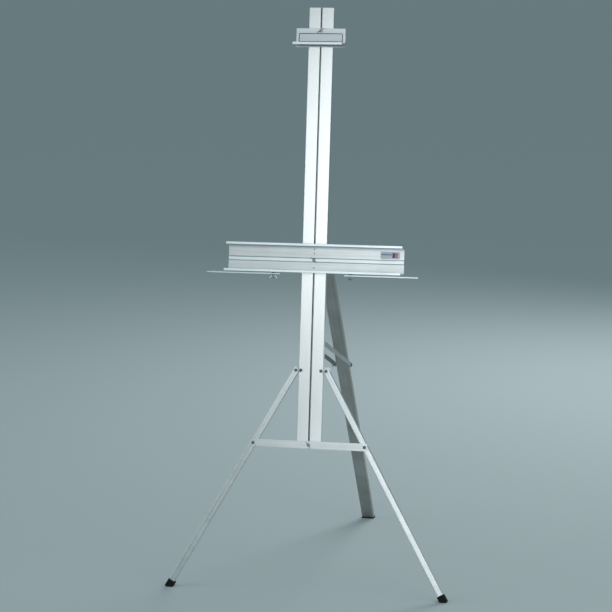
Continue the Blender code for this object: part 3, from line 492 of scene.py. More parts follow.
# ---- finishes
class Finish:
    """A node material under construction. point is the place on a piece, in its own coordinates."""

    def __init__(self, name, metallic, roughness, specular=0.5):
        self.material = bpy.data.materials.new(name)
        self.material.use_nodes = True
        self.shader = self.material.node_tree.nodes["Principled BSDF"].inputs
        self.shader["Metallic"].default_value = metallic
        self.shader["Roughness"].default_value = roughness
        self.shader["Specular IOR Level"].default_value = specular
        self.point = self.add("ShaderNodeTexCoord").outputs["Object"]

    def add(self, kind, **settings):
        node = self.material.node_tree.nodes.new(kind)
        for key, value in settings.items():
            if key in node.inputs:
                node.inputs[key].default_value = value
            else:
                setattr(node, key, value)
        return node

    def feed(self, socket, value):
        """Set a socket to a number or a colour, or link another node's output to it."""
        if isinstance(value, (int, float)):
            socket.default_value = value
        elif isinstance(value, tuple):
            socket.default_value = (*value, 1.0)
        else:
            self.material.node_tree.links.new(value, socket)

    def math(self, operation, *values, clamp=False):
        node = self.add("ShaderNodeMath", operation=operation, use_clamp=clamp)
        for socket, value in zip(node.inputs, values):
            self.feed(socket, value)
        return node.outputs[0]

    def product(self, first, second, clamp=False):
        return self.math("MULTIPLY", first, second, clamp=clamp)

    def ramp(self, source, *stops):
        node = self.add("ShaderNodeValToRGB")
        self.feed(node.inputs["Fac"], source)
        elements = node.color_ramp.elements
        while len(elements) < len(stops):
            elements.new(0.5)
        for element, (position, colour) in zip(elements, stops):
            element.position = position
            element.color = (*colour, 1.0)
        return node.outputs["Color"]

    def noise(self, scale, detail, roughness, stretch=(1.0, 1.0, 1.0)):
        mapping = self.add("ShaderNodeMapping", Scale=stretch)
        self.feed(mapping.inputs["Vector"], self.point)
        texture = self.add("ShaderNodeTexNoise", Scale=scale, Detail=detail, Roughness=roughness)
        self.feed(texture.inputs["Vector"], mapping.outputs["Vector"])
        return texture.outputs["Fac"]

    def mix(self, factor, first, second, blend="MIX"):
        """A colour mix with its sockets found by type, because a Mix node has a set for each kind."""
        node = self.add("ShaderNodeMix", data_type="RGBA", blend_type=blend)
        colours = [socket for socket in node.inputs if socket.type == "RGBA"]
        for socket, value in zip((node.inputs[0], *colours), (factor, first, second)):
            self.feed(socket, value)
        return [socket for socket in node.outputs if socket.type == "RGBA"][0]

    def edges(self, radius):
        """How near a point is to an edge, from the angle between its own and a rounded normal."""
        dot = self.add("ShaderNodeVectorMath", operation="DOT_PRODUCT")
        self.feed(dot.inputs[0], self.add("ShaderNodeBevel", samples=4, Radius=radius).outputs["Normal"])
        self.feed(dot.inputs[1], self.add("ShaderNodeNewGeometry").outputs["Normal"])
        away = self.math("SUBTRACT", 1.0, dot.outputs["Value"], clamp=True)
        beyond = self.math("SUBTRACT", away, EDGE_STARTS)
        return self.math("DIVIDE", beyond, EDGE_FULL - EDGE_STARTS, clamp=True)

    def axes(self):
        parts = self.add("ShaderNodeSeparateXYZ")
        self.feed(parts.inputs[0], self.point)
        return parts.outputs

    def within(self, value, low, high):
        """1 where low < value < high, and 0 elsewhere."""
        return self.product(self.math("GREATER_THAN", value, low), self.math("LESS_THAN", value, high))

    def zone(self, parts, limits):
        """1 inside a box; limits give (axis, low, high), with axes 1 to 3, or minus for both sides."""
        inside = None
        for axis, low, high in limits:
            value = parts["XYZ"[abs(axis) - 1]]
            if axis < 0:
                value = self.math("ABSOLUTE", value)
            step = self.within(value, low, high)
            inside = self.product(inside, step) if inside else step
        return inside

    def done(self, base, rough, height=None, strength=0.0, depth=0.0):
        self.feed(self.shader["Base Color"], base)
        self.feed(self.shader["Roughness"], rough)
        if height:
            relief = self.add("ShaderNodeBump", Strength=strength, Distance=depth)
            self.feed(relief.inputs["Height"], height)
            self.feed(self.shader["Normal"], relief.outputs["Normal"])
        return self.material


def scaled(colour, factor):
    return tuple(min(1.0, part * factor) for part in colour)


def extruded_metal(name, colour, roughness, along, streaks=0.06, smudge=0.05, dirt=0.0, bump=0.12,
                   seed=0.0, tones=()):
    """Extruded aluminium: die lines along one axis, soft smudges, bright handled edges.

    tones lists (factor, limits): boxes, as zone() takes them, where a painted highlight brightens the
    metal or painted shade darkens it.
    """
    metal = Finish(name, 1.0, roughness)
    parts = metal.axes()
    place = metal.add("ShaderNodeVectorMath", operation="ADD")
    metal.feed(place.inputs[0], metal.point)
    place.inputs[1].default_value = (seed * 1.7, seed * 0.6, seed * 2.3)
    metal.point = place.outputs["Vector"]
    fine, broad = (tuple(s if axis == along else 1.0 for axis in range(3)) for s in (0.004, 0.02))
    lines = metal.noise(900.0, 2.0, 0.6, fine)
    bands = metal.noise(130.0, 3.0, 0.55, broad)
    cloud = metal.noise(9.0, 4.0, 0.6)
    both = metal.math("ADD", metal.product(lines, 0.45), metal.product(bands, 0.55))
    base = metal.ramp(both, (0.33, scaled(colour, 1.0 - 2.2 * streaks)),
                      (0.62, scaled(colour, 1.0 + streaks)))
    if dirt:
        specks = metal.noise(220.0, 2.0, 0.5)
        grime = metal.ramp(metal.math("MULTIPLY_ADD", specks, 0.35, cloud), (0.56, BLACK), (0.88, WHITE))
        stained = tuple(c * f for c, f in zip(colour, (0.60, 0.57, 0.50)))
        base = metal.mix(metal.product(grime, dirt), base, stained)
    # the tones paint highlights and shade into the metal's colour
    for factor, limits in tones:
        tint = (factor * 0.96, factor, factor * 1.02)
        base = metal.mix(metal.zone(parts, limits), base, tint, "MULTIPLY")
    worn = metal.product(metal.product(metal.edges(0.0009), 0.25), cloud, clamp=True)
    base = metal.mix(worn, base, tuple(min(1.0, c * 1.18 + 0.04) for c in colour))
    rough = metal.math("MULTIPLY_ADD", lines, 2.0 * smudge, roughness - smudge)
    rough = metal.math("MULTIPLY_ADD", cloud, 2.4 * smudge, rough)
    rough = metal.math("SUBTRACT", rough, 1.2 * smudge)
    rough = metal.math("MULTIPLY_ADD", worn, -0.10, rough, clamp=True)
    return metal.done(base, rough, both, bump, 0.00006)


def plated_steel(name, colour, roughness):
    """Zinc-plated steel: faint crystalline mottling, a warm tint in places, rubbed edges."""
    steel = Finish(name, 1.0, roughness)
    mottle = steel.noise(420.0, 4.0, 0.6)
    cloud = steel.noise(90.0, 2.0, 0.5)
    warm = (colour[0] * 1.08, colour[1] * 1.05, colour[2] * 0.94)
    base = steel.ramp(cloud, (0.35, scaled(colour, 0.86)), (0.60, colour), (0.80, warm))
    base = steel.mix(steel.product(steel.edges(0.0004), 0.5), base, scaled(colour, 1.6))
    base = steel.mix(steel.product(mottle, 0.25), base, scaled(colour, 0.7))
    rough = steel.math("MULTIPLY_ADD", mottle, 0.22, roughness - 0.10)
    return steel.done(base, rough, mottle, 0.10, 0.00004)


def black_rubber(name):
    """Moulded rubber with a fine grain, scuffed grey on its edges and dusty in patches."""
    rubber = Finish(name, 0.0, 0.72, specular=0.22)
    grain = rubber.noise(1500.0, 3.0, 0.6)
    patches = rubber.noise(120.0, 4.0, 0.62)
    scratches = rubber.noise(500.0, 2.0, 0.6, (1.0, 1.0, 0.08))
    base = rubber.ramp(patches, (0.40, (0.003, 0.0035, 0.004)), (0.72, (0.009, 0.0095, 0.0095)))
    scuff = rubber.product(rubber.product(rubber.edges(0.0016), scratches), 1.1, clamp=True)
    base = rubber.mix(scuff, base, (0.030, 0.030, 0.029))
    return rubber.done(base, rubber.math("MULTIPLY_ADD", patches, 0.30, 0.52), grain, 0.35, 0.00012)


def grey_nylon(name):
    nylon = Finish(name, 0.0, 0.5, specular=0.4)
    grain = nylon.noise(900.0, 3.0, 0.6)
    base = nylon.ramp(grain, (0.35, (0.23, 0.24, 0.25)), (0.7, (0.33, 0.34, 0.35)))
    return nylon.done(base, nylon.math("MULTIPLY_ADD", grain, 0.25, 0.36), grain, 0.2, 0.00005)


def label_film(name):
    """Silver film with a thin dark border line, and nothing written in it."""
    film = Finish(name, 0.55, 0.36)
    parts = film.axes()
    squares = []
    for axis, size in (("X", LABEL_WIDTH), ("Y", LABEL_HEIGHT)):
        reach = size / 2 - LABEL_MARGIN - LABEL_CORNER
        past = film.math("SUBTRACT", film.math("ABSOLUTE", parts[axis]), reach)
        beyond = film.math("MAXIMUM", past, 0.0)
        squares.append(film.product(beyond, beyond))
    distance = film.math("SQRT", film.math("ADD", *squares))
    off_line = film.math("ABSOLUTE", film.math("SUBTRACT", distance, LABEL_CORNER))
    line = film.math("LESS_THAN", off_line, LABEL_LINE / 2)
    brushed = film.noise(700.0, 2.0, 0.6, (0.01, 1.0, 1.0))
    base = film.ramp(brushed, (0.3, (0.62, 0.65, 0.68)), (0.7, (0.76, 0.78, 0.81)))
    base = film.mix(line, base, (0.012, 0.013, 0.017))
    return film.done(base, film.math("MULTIPLY_ADD", brushed, 0.16, 0.28), line, 0.15, 0.00004)


def sticker_film(name):
    """White film with a plain blue line and a small badge of a blue and a red block."""
    film = Finish(name, 0.0, 0.32)
    parts = film.axes()
    grain = film.noise(600.0, 2.0, 0.6)
    base = film.ramp(grain, (0.3, (0.62, 0.66, 0.70)), (0.7, (0.74, 0.78, 0.81)))
    for colour, across, up in STICKER_PRINT:
        base = film.mix(film.zone(parts, ((1, *across), (2, *up))), base, colour)
    return film.done(base, film.math("MULTIPLY_ADD", grain, 0.15, 0.25))


# Each tone, a painted highlight or painted shade, is a factor on the metal's colour and the box, in the
# piece's own axes, that it fills.
MAST_TONES = (
    (0.30, ((-1, -1.0, 0.0115), (2, 0.0007, 0.0090))),  # painted shade inside the slot
    (0.84, ((-1, 0.0414, 1.0),)),  # painted shade on the outer sides
)
TRAY_TONES = (
    (1.28, ((2, -1.0, -0.0425),)),  # painted highlight on the lips of the ledge and the shelf
    (1.14, ((2, -0.0052, 0.0), (3, 0.0375, 0.0495))),  # painted highlight on the raised band
    (0.52, ((2, -0.0045, 0.0), (3, 0.0356, 0.0371))),  # painted shade in the seams below and above the band
    (0.52, ((2, -0.0045, 0.0), (3, 0.0499, 0.0514))),
    (0.62, ((2, -0.0060, 0.0), (3, 0.0845, 0.0940))),  # shadow under the ledge
    (0.80, ((2, -0.0060, 0.0), (3, 0.0805, 0.0845))),
    (0.72, ((2, -0.0060, 0.0), (3, 0.0010, 0.0050))),  # painted shade in the corner above the shelf
)
HOLDER_TONES = (
    (1.20, ((2, -1.0, -0.0560),)),  # painted highlight on the lip of the flange
    (0.42, ((2, -0.0050, 0.0), (3, 0.0016, 0.0105))),  # painted shadow on the plate below the flange
)
LOOKS = {
    "mast_aluminium": extruded_metal("mast_metal", (0.90, 0.91, 0.91), 0.24, 2, streaks=0.012, smudge=0.015,
                                     bump=0.03, seed=1.0, tones=MAST_TONES),
    "front_leg_aluminium": extruded_metal("front_leg_metal", (0.74, 0.77, 0.78), 0.28, 2, bump=0.04,
                                          seed=2.0),
    "rear_leg_aluminium": extruded_metal("rear_leg_metal", (0.50, 0.50, 0.485), 0.46, 2, streaks=0.08,
                                         smudge=0.07, dirt=0.5, seed=3.0),
    "tray_aluminium": extruded_metal("tray_metal", (0.73, 0.76, 0.77), 0.33, 0, streaks=0.07, dirt=0.12,
                                     seed=4.0, tones=TRAY_TONES),
    "holder_aluminium": extruded_metal("holder_metal", (0.74, 0.77, 0.79), 0.33, 0, seed=5.0,
                                       tones=HOLDER_TONES),
    "bar_aluminium": extruded_metal("bar_metal", (0.75, 0.78, 0.79), 0.32, 0, streaks=0.07, dirt=0.15,
                                    seed=6.0),
    "brace_aluminium": extruded_metal("brace_metal", (0.46, 0.50, 0.49), 0.38, 2, streaks=0.07, dirt=0.3,
                                      seed=7.0),
    "zinc_steel": plated_steel("fastener_steel", (0.20, 0.23, 0.25), 0.30),
    "wing_steel": plated_steel("wing_nut_steel", (0.58, 0.61, 0.63), 0.24),
    "bracket_steel": plated_steel("bracket_steel", (0.50, 0.52, 0.53), 0.34),
    "rubber": black_rubber("tip_rubber"),
    "nylon": grey_nylon("spacer_nylon"),
    "label": label_film("label_film"),
    "sticker": sticker_film("sticker_film"),
}


# ---- placing
def at(frame_matrix, location, rotation=(0.0, 0.0, 0.0)):
    return frame_matrix @ shift(*location) @ turn(rotation)


def show(name, mesh, look, body, matrix):
    """One visible piece: it stands for a CAD node, rides on a body and carries a finish."""
    mesh = shaded(mesh)
    piece = linked("look_" + name, mesh)
    piece.matrix_world = matrix
    if not mesh.materials:
        mesh.materials.append(None)
    piece.material_slots[0].link = "OBJECT"
    piece.material_slots[0].material = LOOKS[look]
    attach(piece, body)
    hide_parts(name)


def fasten(name, mesh, body, frame_matrix, location, rotation=(0.0, 0.0, 0.0)):
    show(name, mesh, "zinc_steel", body, at(frame_matrix, location, rotation))


# ---- fasteners
def phillips(depth, reach, height):
    """A tapered cross cutter whose mouth is at the given height."""
    arms = []
    for rotation in (0.0, math.pi / 2):
        outline = [(-reach, 0.0002), (reach, 0.0002), (reach * 0.55, -depth), (-reach * 0.55, -depth)]
        arm = moved(plate([outline], reach * 0.34), rotation=FACE_FRONT)
        arms.append(moved(arm, (0.0, 0.0, height), (0.0, 0.0, rotation)))
    return arms


def pan_head(radius, length, head_radius, head_height=BOLT_HEAD_HEIGHT, peened=None, threads=None,
             recess=True):
    """A pan-head bolt or rivet on Z = 0 with its shank running down."""
    crown = arc((0.0, head_height - head_radius * 0.9), head_radius * 0.9, 90, 50, 8)
    edge = [(head_radius * 0.93, head_height * 0.46), (head_radius, head_height * 0.35),
            (head_radius, 0.00015), (head_radius - 0.00015, 0.0)]
    profile = crown + edge + [(radius, 0.0)]
    if peened:
        end_radius, end_height = peened
        profile += [(radius, -length), (end_radius, -length), (end_radius, -length - end_height * 0.4)]
        profile += [(end_radius * 0.6, -length - end_height * 0.9), (0.0, -length - end_height)]
        body = turned(profile)
    else:
        chamfer = radius * 0.25
        tail = [(radius, chamfer - length), (radius - chamfer, -length), (0.0, -length)]
        thread = None
        if threads:
            start = -max(0.0, length - threads)
            profile += [(radius, start)] if start < 0 else []
            thread = (start, chamfer - length, M5_PITCH if radius < 0.0028 else 0.001, radius * 0.13)
        body = turned(profile + tail, thread=thread)
    if recess:
        body = cut(body, phillips(head_height * 0.62, head_radius * 0.46, head_height))
    return body


def hex_nut(radius, across_corners, height=NUT_HEIGHT):
    """A hexagon nut with chamfered corners and a bore, standing on Z = 0."""
    outline = circle((0.0, 0.0), across_corners / 2, 6)
    body = moved(plate([outline], height), (0.0, 0.0, height / 2))
    corner = across_corners / 2
    flat = corner * math.cos(math.pi / 6)
    drop = (corner - flat) * 0.6
    cone = turned([(0.0, height), (flat * 0.97, height), (corner * 1.02, height - drop),
                   (corner * 1.02, drop), (flat * 0.97, 0.0), (0.0, 0.0)], 48)
    body = boolean(body, [cone], "INTERSECT")
    bore = radius + CLEARANCE_HOLE * 0.8
    funnel = turned([(0.0, height + 0.001), (bore + 0.0006, height + 0.0002), (bore, height - 0.0004),
                     (bore, 0.0004), (bore + 0.0006, -0.0002), (0.0, -0.001)], 36)
    return cut(body, [funnel])


def wing_nut():
    """A forged wing nut on Z = 0: a waisted hub with two rounded wings that rise from it."""
    bore = M5 + CLEARANCE_HOLE * 0.9
    hub = turned([(0.0, WING_NUT_HEIGHT), (0.0041, WING_NUT_HEIGHT), (0.0044, WING_NUT_HEIGHT - 0.0004),
                  (0.0048, 0.0032), (0.0055, 0.0011), (0.0055, 0.0003), (0.0052, 0.0), (0.0, 0.0)], 40)
    wing = [(0.0030, 0.0016), (0.0060, 0.0018), (0.0078, 0.0028), (0.0094, 0.0046), (0.0108, 0.0061)]
    wing += arc((0.0115, 0.0094), 0.0026, -70, 120, 14)
    wing += [(0.0089, 0.0106), (0.0072, 0.0090), (0.0058, 0.0073), (0.0046, 0.0064), (0.0030, 0.0058)]
    right = moved(plate([wing], 0.0021), rotation=FACE_FRONT)
    body = joined(hub, [right, moved(right, rotation=(0.0, 0.0, math.pi))])
    body = cut(body, [drill(bore, 0.03, (0.0, 0.0, 0.0), (0.0, 0.0, 0.0))])
    return eased(body, 0.00042, 3, 30.0)


def t_bolt(length):
    """A T-bolt: a flat head that turns in the mast's slot, and a threaded shank that runs up."""
    head = moved(block(0.020, 0.016, 0.003, 0.0005, 3), (0.0, 0.0, -0.0015))
    chamfer = M5 * 0.25
    shank = turned([(0.0, length), (M5 - chamfer, length), (M5, length - chamfer), (M5, 0.0015),
                    (M5, -0.001), (0.0, -0.001)],
                   thread=(length - chamfer, 0.0015, M5_PITCH, M5 * 0.13))
    return joined(head, [shank])


WING_NUT = wing_nut()
WASHER = ring_mesh(HOLE_M5, WASHER_RADIUS, WASHER_THICKNESS)
FASTENER_NUT_M5 = hex_nut(M5, NUT_M5)
FASTENER_NUT_M6 = hex_nut(M6, NUT_M6)


def show_wing_nut(name, body, matrix):
    show(name, WING_NUT, "wing_steel", body, matrix)


def slot_clamp(name, frame_matrix, face, angle, bolt_body, washer_body, nut_body):
    """The T-bolt in the mast's slot, with its washer on the clamped face and its wing nut."""
    head = MAST_WALL + GAP
    nut_base = face + WASHER_THICKNESS + GAP
    bolt = t_bolt(head + nut_base + WING_NUT_HEIGHT + STUD_END)
    fasten(name + "_t_bolt", bolt, bolt_body, frame_matrix, (0.0, head, 0.0), HEAD_FRONT)
    fasten(name + "_washer", WASHER, washer_body, frame_matrix, (0.0, -face, 0.0), HEAD_FRONT)
    turned_by = (math.pi / 2, math.radians(angle), 0.0)
    show_wing_nut(name + "_wing_nut", nut_body, at(frame_matrix, (0.0, -nut_base, 0.0), turned_by))


# ---- mast
def mast_mesh():
    half = MAST_WIDTH / 2
    slot = SLOT_WIDTH / 2
    cavity = SLOT_CAVITY_WIDTH / 2
    floor = MAST_WALL + SLOT_CAVITY_DEPTH
    lip = half - MAST_LIP
    right = [(slot, 0.0), (half, 0.0), (half, MAST_DEPTH), (lip, MAST_DEPTH),
             (lip, MAST_DEPTH - MAST_WALL), (half - MAST_WALL, MAST_DEPTH - MAST_WALL),
             (half - MAST_WALL, MAST_WALL), (cavity + MAST_WALL, MAST_WALL),
             (cavity + MAST_WALL, floor + MAST_WALL)]
    inner = [(cavity, floor), (cavity, MAST_WALL), (slot, MAST_WALL)]
    radii = [0.0005, 0.0009, 0.0009, 0.0008, 0.0004, 0.0008, 0.0008, 0.0006, 0.0009]
    inner_radii = [0.0008, 0.0004, 0.0004]
    corners = right + [(-x, y) for x, y in right[::-1]] + [(-x, y) for x, y in inner[::-1]] + inner
    sizes = radii + radii[::-1] + inner_radii[::-1] + inner_radii
    bolt_z = LEG_PIVOT_Z - MAST_MIDDLE
    holes = [drill(HOLE_M5, LONG_DRILL, (side * BRACKET_BOLT_X, 0.010, bolt_z))
             for _, side in SIDES]
    screws = [(x, REAR_HINGE_Z + z - MAST_MIDDLE) for x, z in HINGE_SCREWS]
    screws += [(x, BRACE_PIVOT_Z + z - MAST_MIDDLE) for x, z in BRACE_SCREWS]
    holes += [drill(HOLE_SCREW, LIP_DRILL, (x, MAST_DEPTH, z), steps=24)
              for x, z in screws]
    return eased(cut(plate([rounded(corners, sizes, 5)], MAST_LENGTH), holes), EXTRUSION_EDGE)


def strap_mesh():
    outlines = [rectangle(2 * (LEG_PIVOT_X + 0.012), 0.024, 0.012, count=16)]
    for _, side in SIDES:
        outlines.append(circle((side * BRACKET_BOLT_X, 0.0), HOLE_M5))
        outlines.append(circle((side * LEG_PIVOT_X, 0.0), HOLE_M6))
    return eased(plate(outlines, BRACKET_THICKNESS), PLATE_EDGE, 3)


def eared_bracket_mesh(height, screws, thickness, ear_x, axis_y, ear_radius, hole):
    """A plate on the mast's back with two ears; Z = 0 is level with the ears' holes."""
    outlines = [rectangle(0.082, height, 0.004)]
    outlines += [circle(spot, HOLE_SCREW, 24) for spot in screws]
    base = moved(plate(outlines, thickness), (0.0, MAST_BACK + thickness / 2, 0.0), FACE_FRONT)
    root = MAST_BACK + thickness / 2
    foot = height / 2 - 0.004
    ear = [(root, -foot)] + arc((axis_y, 0.0), ear_radius, -70, 70, 24) + [(root, foot)]
    ear_plate = plate([ear, circle((axis_y, 0.0), hole)], thickness)
    ears = [moved(ear_plate, (side * (ear_x + thickness / 2), 0.0, 0.0), FACE_SIDE) for _, side in SIDES]
    return eased(joined(base, ears), 0.00030, 3)


def show_mast():
    show("mast_extrusion", mast_mesh(), "mast_aluminium", "mast", at(MAST, (0.0, 0.0, MAST_MIDDLE)))
    show("leg_bracket", strap_mesh(), "bar_aluminium", "mast",
         at(MAST, (0.0, MAST_BACK + BRACKET_THICKNESS / 2, LEG_PIVOT_Z), FACE_FRONT))
    reach = STRAP_BACK + NUT_HEIGHT + BOLT_END
    mast_bolt = pan_head(M5, reach, MAST_BOLT_HEAD, threads=0.010)
    pivot_bolt = pan_head(M6, reach, PIVOT_BOLT_HEAD, threads=0.010)
    behind = STRAP_BACK + GAP
    for name, side in SIDES:
        x = side * BRACKET_BOLT_X
        fasten("bracket_bolt_" + name, mast_bolt, "mast", MAST, (x, -GAP, LEG_PIVOT_Z), HEAD_FRONT)
        fasten("bracket_nut_" + name, FASTENER_NUT_M5, "mast", MAST, (x, behind, LEG_PIVOT_Z), FLATS_APART)
        x = side * LEG_PIVOT_X
        fasten("leg_pivot_bolt_" + name, pivot_bolt, "mast", MAST, (x, -GAP, LEG_PIVOT_Z), HEAD_FRONT)
        fasten("leg_pivot_nut_" + name, FASTENER_NUT_M6, "mast", MAST, (x, behind, LEG_PIVOT_Z), HEAD_BACK)


def show_mast_brackets():
    hinge = eared_bracket_mesh(0.060, HINGE_SCREWS, HINGE_PLATE, HINGE_EAR_X, REAR_HINGE_Y, 0.010,
                               HOLE_M6)
    show("hinge_bracket", hinge, "bracket_steel", "mast", at(MAST, (0.0, 0.0, REAR_HINGE_Z)))
    small_screw = pan_head(SCREW_RADIUS, 0.0065, SCREW_HEAD, 0.0018)
    head = MAST_BACK + HINGE_PLATE + GAP
    for number, (x, z) in enumerate(HINGE_SCREWS, 1):
        fasten("hinge_bracket_screw_%d" % number, small_screw, "mast", MAST, (x, head, REAR_HINGE_Z + z),
               HEAD_BACK)
    ear_face = HINGE_EAR_X + HINGE_PLATE + GAP
    hinge_bolt = pan_head(M6, 2 * ear_face + NUT_HEIGHT + BOLT_END, PIVOT_BOLT_HEAD, 0.0035, threads=0.010)
    fasten("rear_hinge_bolt", hinge_bolt, "mast", MAST, (ear_face, REAR_HINGE_Y, REAR_HINGE_Z), HEAD_RIGHT)
    fasten("rear_hinge_nut", FASTENER_NUT_M6, "mast", MAST, (-ear_face, REAR_HINGE_Y, REAR_HINGE_Z),
           HEAD_LEFT)
    brace = eared_bracket_mesh(0.044, BRACE_SCREWS, BRACE_PLATE, BRACE_EAR_X, BRACE_PIVOT_Y, 0.007,
                               HOLE_M5)
    show("brace_bracket", brace, "bracket_steel", "mast", at(MAST, (0.0, 0.0, BRACE_PIVOT_Z)))
    rivet = pan_head(M5, BRACE_OUTER_X - BRACE_EAR_X + GAP, 0.0048, 0.0022, (0.0040, 0.0010), recess=False)
    head = MAST_BACK + BRACE_PLATE + GAP
    for (name, side), (x, z) in zip(SIDES, BRACE_SCREWS):
        fasten("brace_bracket_screw_" + name, small_screw, "mast", MAST, (x, head, BRACE_PIVOT_Z + z),
               HEAD_BACK)
        fasten("brace_rivet_" + name, rivet, "mast", MAST,
               (side * BRACE_OUTER_X, BRACE_PIVOT_Y, BRACE_PIVOT_Z), HEAD_RIGHT if side > 0 else HEAD_LEFT)


# ---- front legs and crossbar
def leg_length():
    pivot_height = LEG_PIVOT_Z * math.cos(MAST_TILT) - LEG_CENTRE_Y * math.sin(MAST_TILT)
    return pivot_height / (math.cos(LEG_SPREAD) * math.cos(MAST_TILT))


def leg_tube_mesh():
    half = LEG_SECTION / 2
    bottom = leg_length() - TIP_COLLAR + TIP_GRIP - GAP
    inner = LEG_SECTION - 2 * LEG_WALL
    sections = [rectangle(LEG_SECTION, LEG_SECTION, 0.0020, count=6),
                rectangle(inner, inner, 0.0008, count=3)]
    length = bottom + half
    tube = moved(plate(sections, length), (0.0, 0.0, half - length / 2))
    wide = 0.012
    crown = [(-wide, 0.0)] + arc((0.0, 0.0), half, 180, 0, 32) + [(wide, 0.0), (wide, wide), (-wide, wide)]
    cutters = [moved(plate([crown], LEG_DRILL), rotation=FACE_FRONT),
               drill(HOLE_M6, LEG_DRILL, (0.0, 0.0, 0.0)),
               drill(STUD_RADIUS + CLEARANCE_HOLE, LEG_DRILL, (0.0, 0.0, -STUD_DISTANCE))]
    return eased(cut(tube, cutters), 0.00020)


def leg_tip_mesh(side):
    """A square rubber boot with a rim, a shallow groove and a socket for the tube, worn level."""
    height = TIP_COLLAR + TIP_TOE
    body = moved(block(TIP_WIDTH, TIP_WIDTH, height, TIP_ROUNDING, 6), (0.0, 0.0, TIP_COLLAR - height / 2))
    room = LEG_SECTION + 2 * GAP
    socket = plate([rectangle(room, room, 0.0018)], 0.040)
    cutters = [moved(socket, (0.0, 0.0, TIP_COLLAR - TIP_GRIP + 0.020))]
    outer = rectangle(TIP_WIDTH + 0.004, TIP_WIDTH + 0.004)
    inner = rectangle(TIP_WIDTH - 0.0012, TIP_WIDTH - 0.0012, 0.0032)
    cutters.append(moved(plate([outer, inner], 0.0011), (0.0, 0.0, TIP_COLLAR - 0.0065)))
    floor = moved(block(0.1, 0.1, 0.04), (0.0, 0.0, -0.02))
    cutters.append(moved(floor, rotation=(MAST_TILT, side * LEG_SPREAD, 0.0)))
    return eased(cut(body, cutters), 0.00030, angle=40.0)


def stud_place(fold, side):
    """Where a leg's stud lies on the crossbar, in the crossbar's own plane, at an angle of folding."""
    angle = LEG_SPREAD - fold
    x = side * (LEG_PIVOT_X + STUD_DISTANCE * math.sin(angle))
    z = LEG_PIVOT_Z - STUD_DISTANCE * math.cos(angle) - CROSSBAR_Z
    turned_by = CROSSBAR_TURN_RATIO * fold
    return (x * math.cos(turned_by) - z * math.sin(turned_by),
            x * math.sin(turned_by) + z * math.cos(turned_by))


def crossbar_mesh():
    half = CROSSBAR_HEIGHT / 2
    left_end = -STUD_X - 0.0112
    right_end = STUD_X + 0.0095
    outline = arc((left_end + half, 0.0), half, 90, 270, 32)
    corner = 0.005
    outline += arc((right_end - corner, corner - half), corner, 270, 360, 10)
    outline += arc((right_end - corner, half - corner), corner, 0, 90, 10)
    bar = plate([outline, circle((0.0, 0.0), HOLE_M5)], CROSSBAR_THICKNESS)
    notches = []
    for _, side in SIDES:
        path = [stud_place(math.radians(0.3 * step), side) for step in range(8)]
        notches.append(plate([notch_outline(path, STUD_RADIUS + NOTCH_ROOM)], 0.010))
    return moved(eased(cut(bar, notches), PLATE_EDGE, 3), rotation=FACE_FRONT)


def show_front_legs():
    tube = leg_tube_mesh()
    front = CROSSBAR_BACK + CROSSBAR_THICKNESS + 0.0005
    stud = pan_head(STUD_RADIUS, front + LEG_SECTION + GAP, 0.0056, 0.0028, (0.0050, 0.0020))
    for name, side in SIDES:
        legs = leg_frame(side)
        body = name + "_front_leg"
        show("leg_tube_" + name, tube, "front_leg_aluminium", body, legs)
        tip = leg_tip_mesh(side)
        tip_frame = at(legs, (0.0, 0.0, -leg_length()))
        tip.transform(tip_frame.to_3x3().to_4x4())
        show("leg_tip_" + name, tip, "rubber", body, Matrix.Translation(tip_frame.translation))
        fasten("leg_stud_" + name, stud, body, legs, (0.0, -LEG_CENTRE_Y - front, -STUD_DISTANCE), HEAD_FRONT)
    middle = CROSSBAR_BACK + CROSSBAR_THICKNESS / 2
    show("crossbar", crossbar_mesh(), "bar_aluminium", "crossbar", at(CROSSBAR, (0.0, -middle, 0.0)))
    slot_clamp("crossbar", CROSSBAR, CROSSBAR_BACK + CROSSBAR_THICKNESS + GAP, 55.0,
               "mast", "crossbar", "crossbar_nut")


# ---- rear leg and brace
def rear_leg_length():
    hinge_height = REAR_HINGE_Z * math.cos(MAST_TILT) - REAR_HINGE_Y * math.sin(MAST_TILT)
    return hinge_height / math.cos(REAR_SLOPE)


def rear_leg_mesh():
    half = REAR_LEG_WIDTH / 2
    front = -REAR_LEG_DEPTH / 2
    back = REAR_LEG_DEPTH / 2
    wall = REAR_LEG_WALL
    corners = [(-half, front), (half, front), (half, back), (half - wall, back), (half - wall, front + wall),
               (-half + wall, front + wall), (-half + wall, back), (-half, back)]
    section = rounded(corners, [0.0018, 0.0018, 0.0006, 0.0006, 0.0010, 0.0010, 0.0006, 0.0006], 5)
    top = 0.013
    bottom = rear_leg_length() + 0.03
    middle = (top - bottom) / 2
    channel = plate([section], top + bottom)
    floor_cut = moved(block(0.2, 0.2, 0.1), (0.0, 0.0, REAR_PAD_THICKNESS + GAP - 0.05))
    floor_cut = moved(floor_cut, rotation=(-REAR_SLOPE, 0.0, 0.0))
    floor_cut = moved(floor_cut, (0.0, 0.0, -rear_leg_length() - middle))
    stud = (0.0, BRACE_STUD_OFFSET, -BRACE_STUD_DISTANCE - middle)
    holes = [drill(HOLE_M6, LONG_DRILL, (0.0, 0.0, -middle), HEAD_RIGHT),
             drill(BRACE_SLEEVE + GAP, LONG_DRILL, stud, HEAD_RIGHT)]
    return moved(eased(cut(channel, holes + [floor_cut]), EXTRUSION_EDGE), (0.0, 0.0, middle))


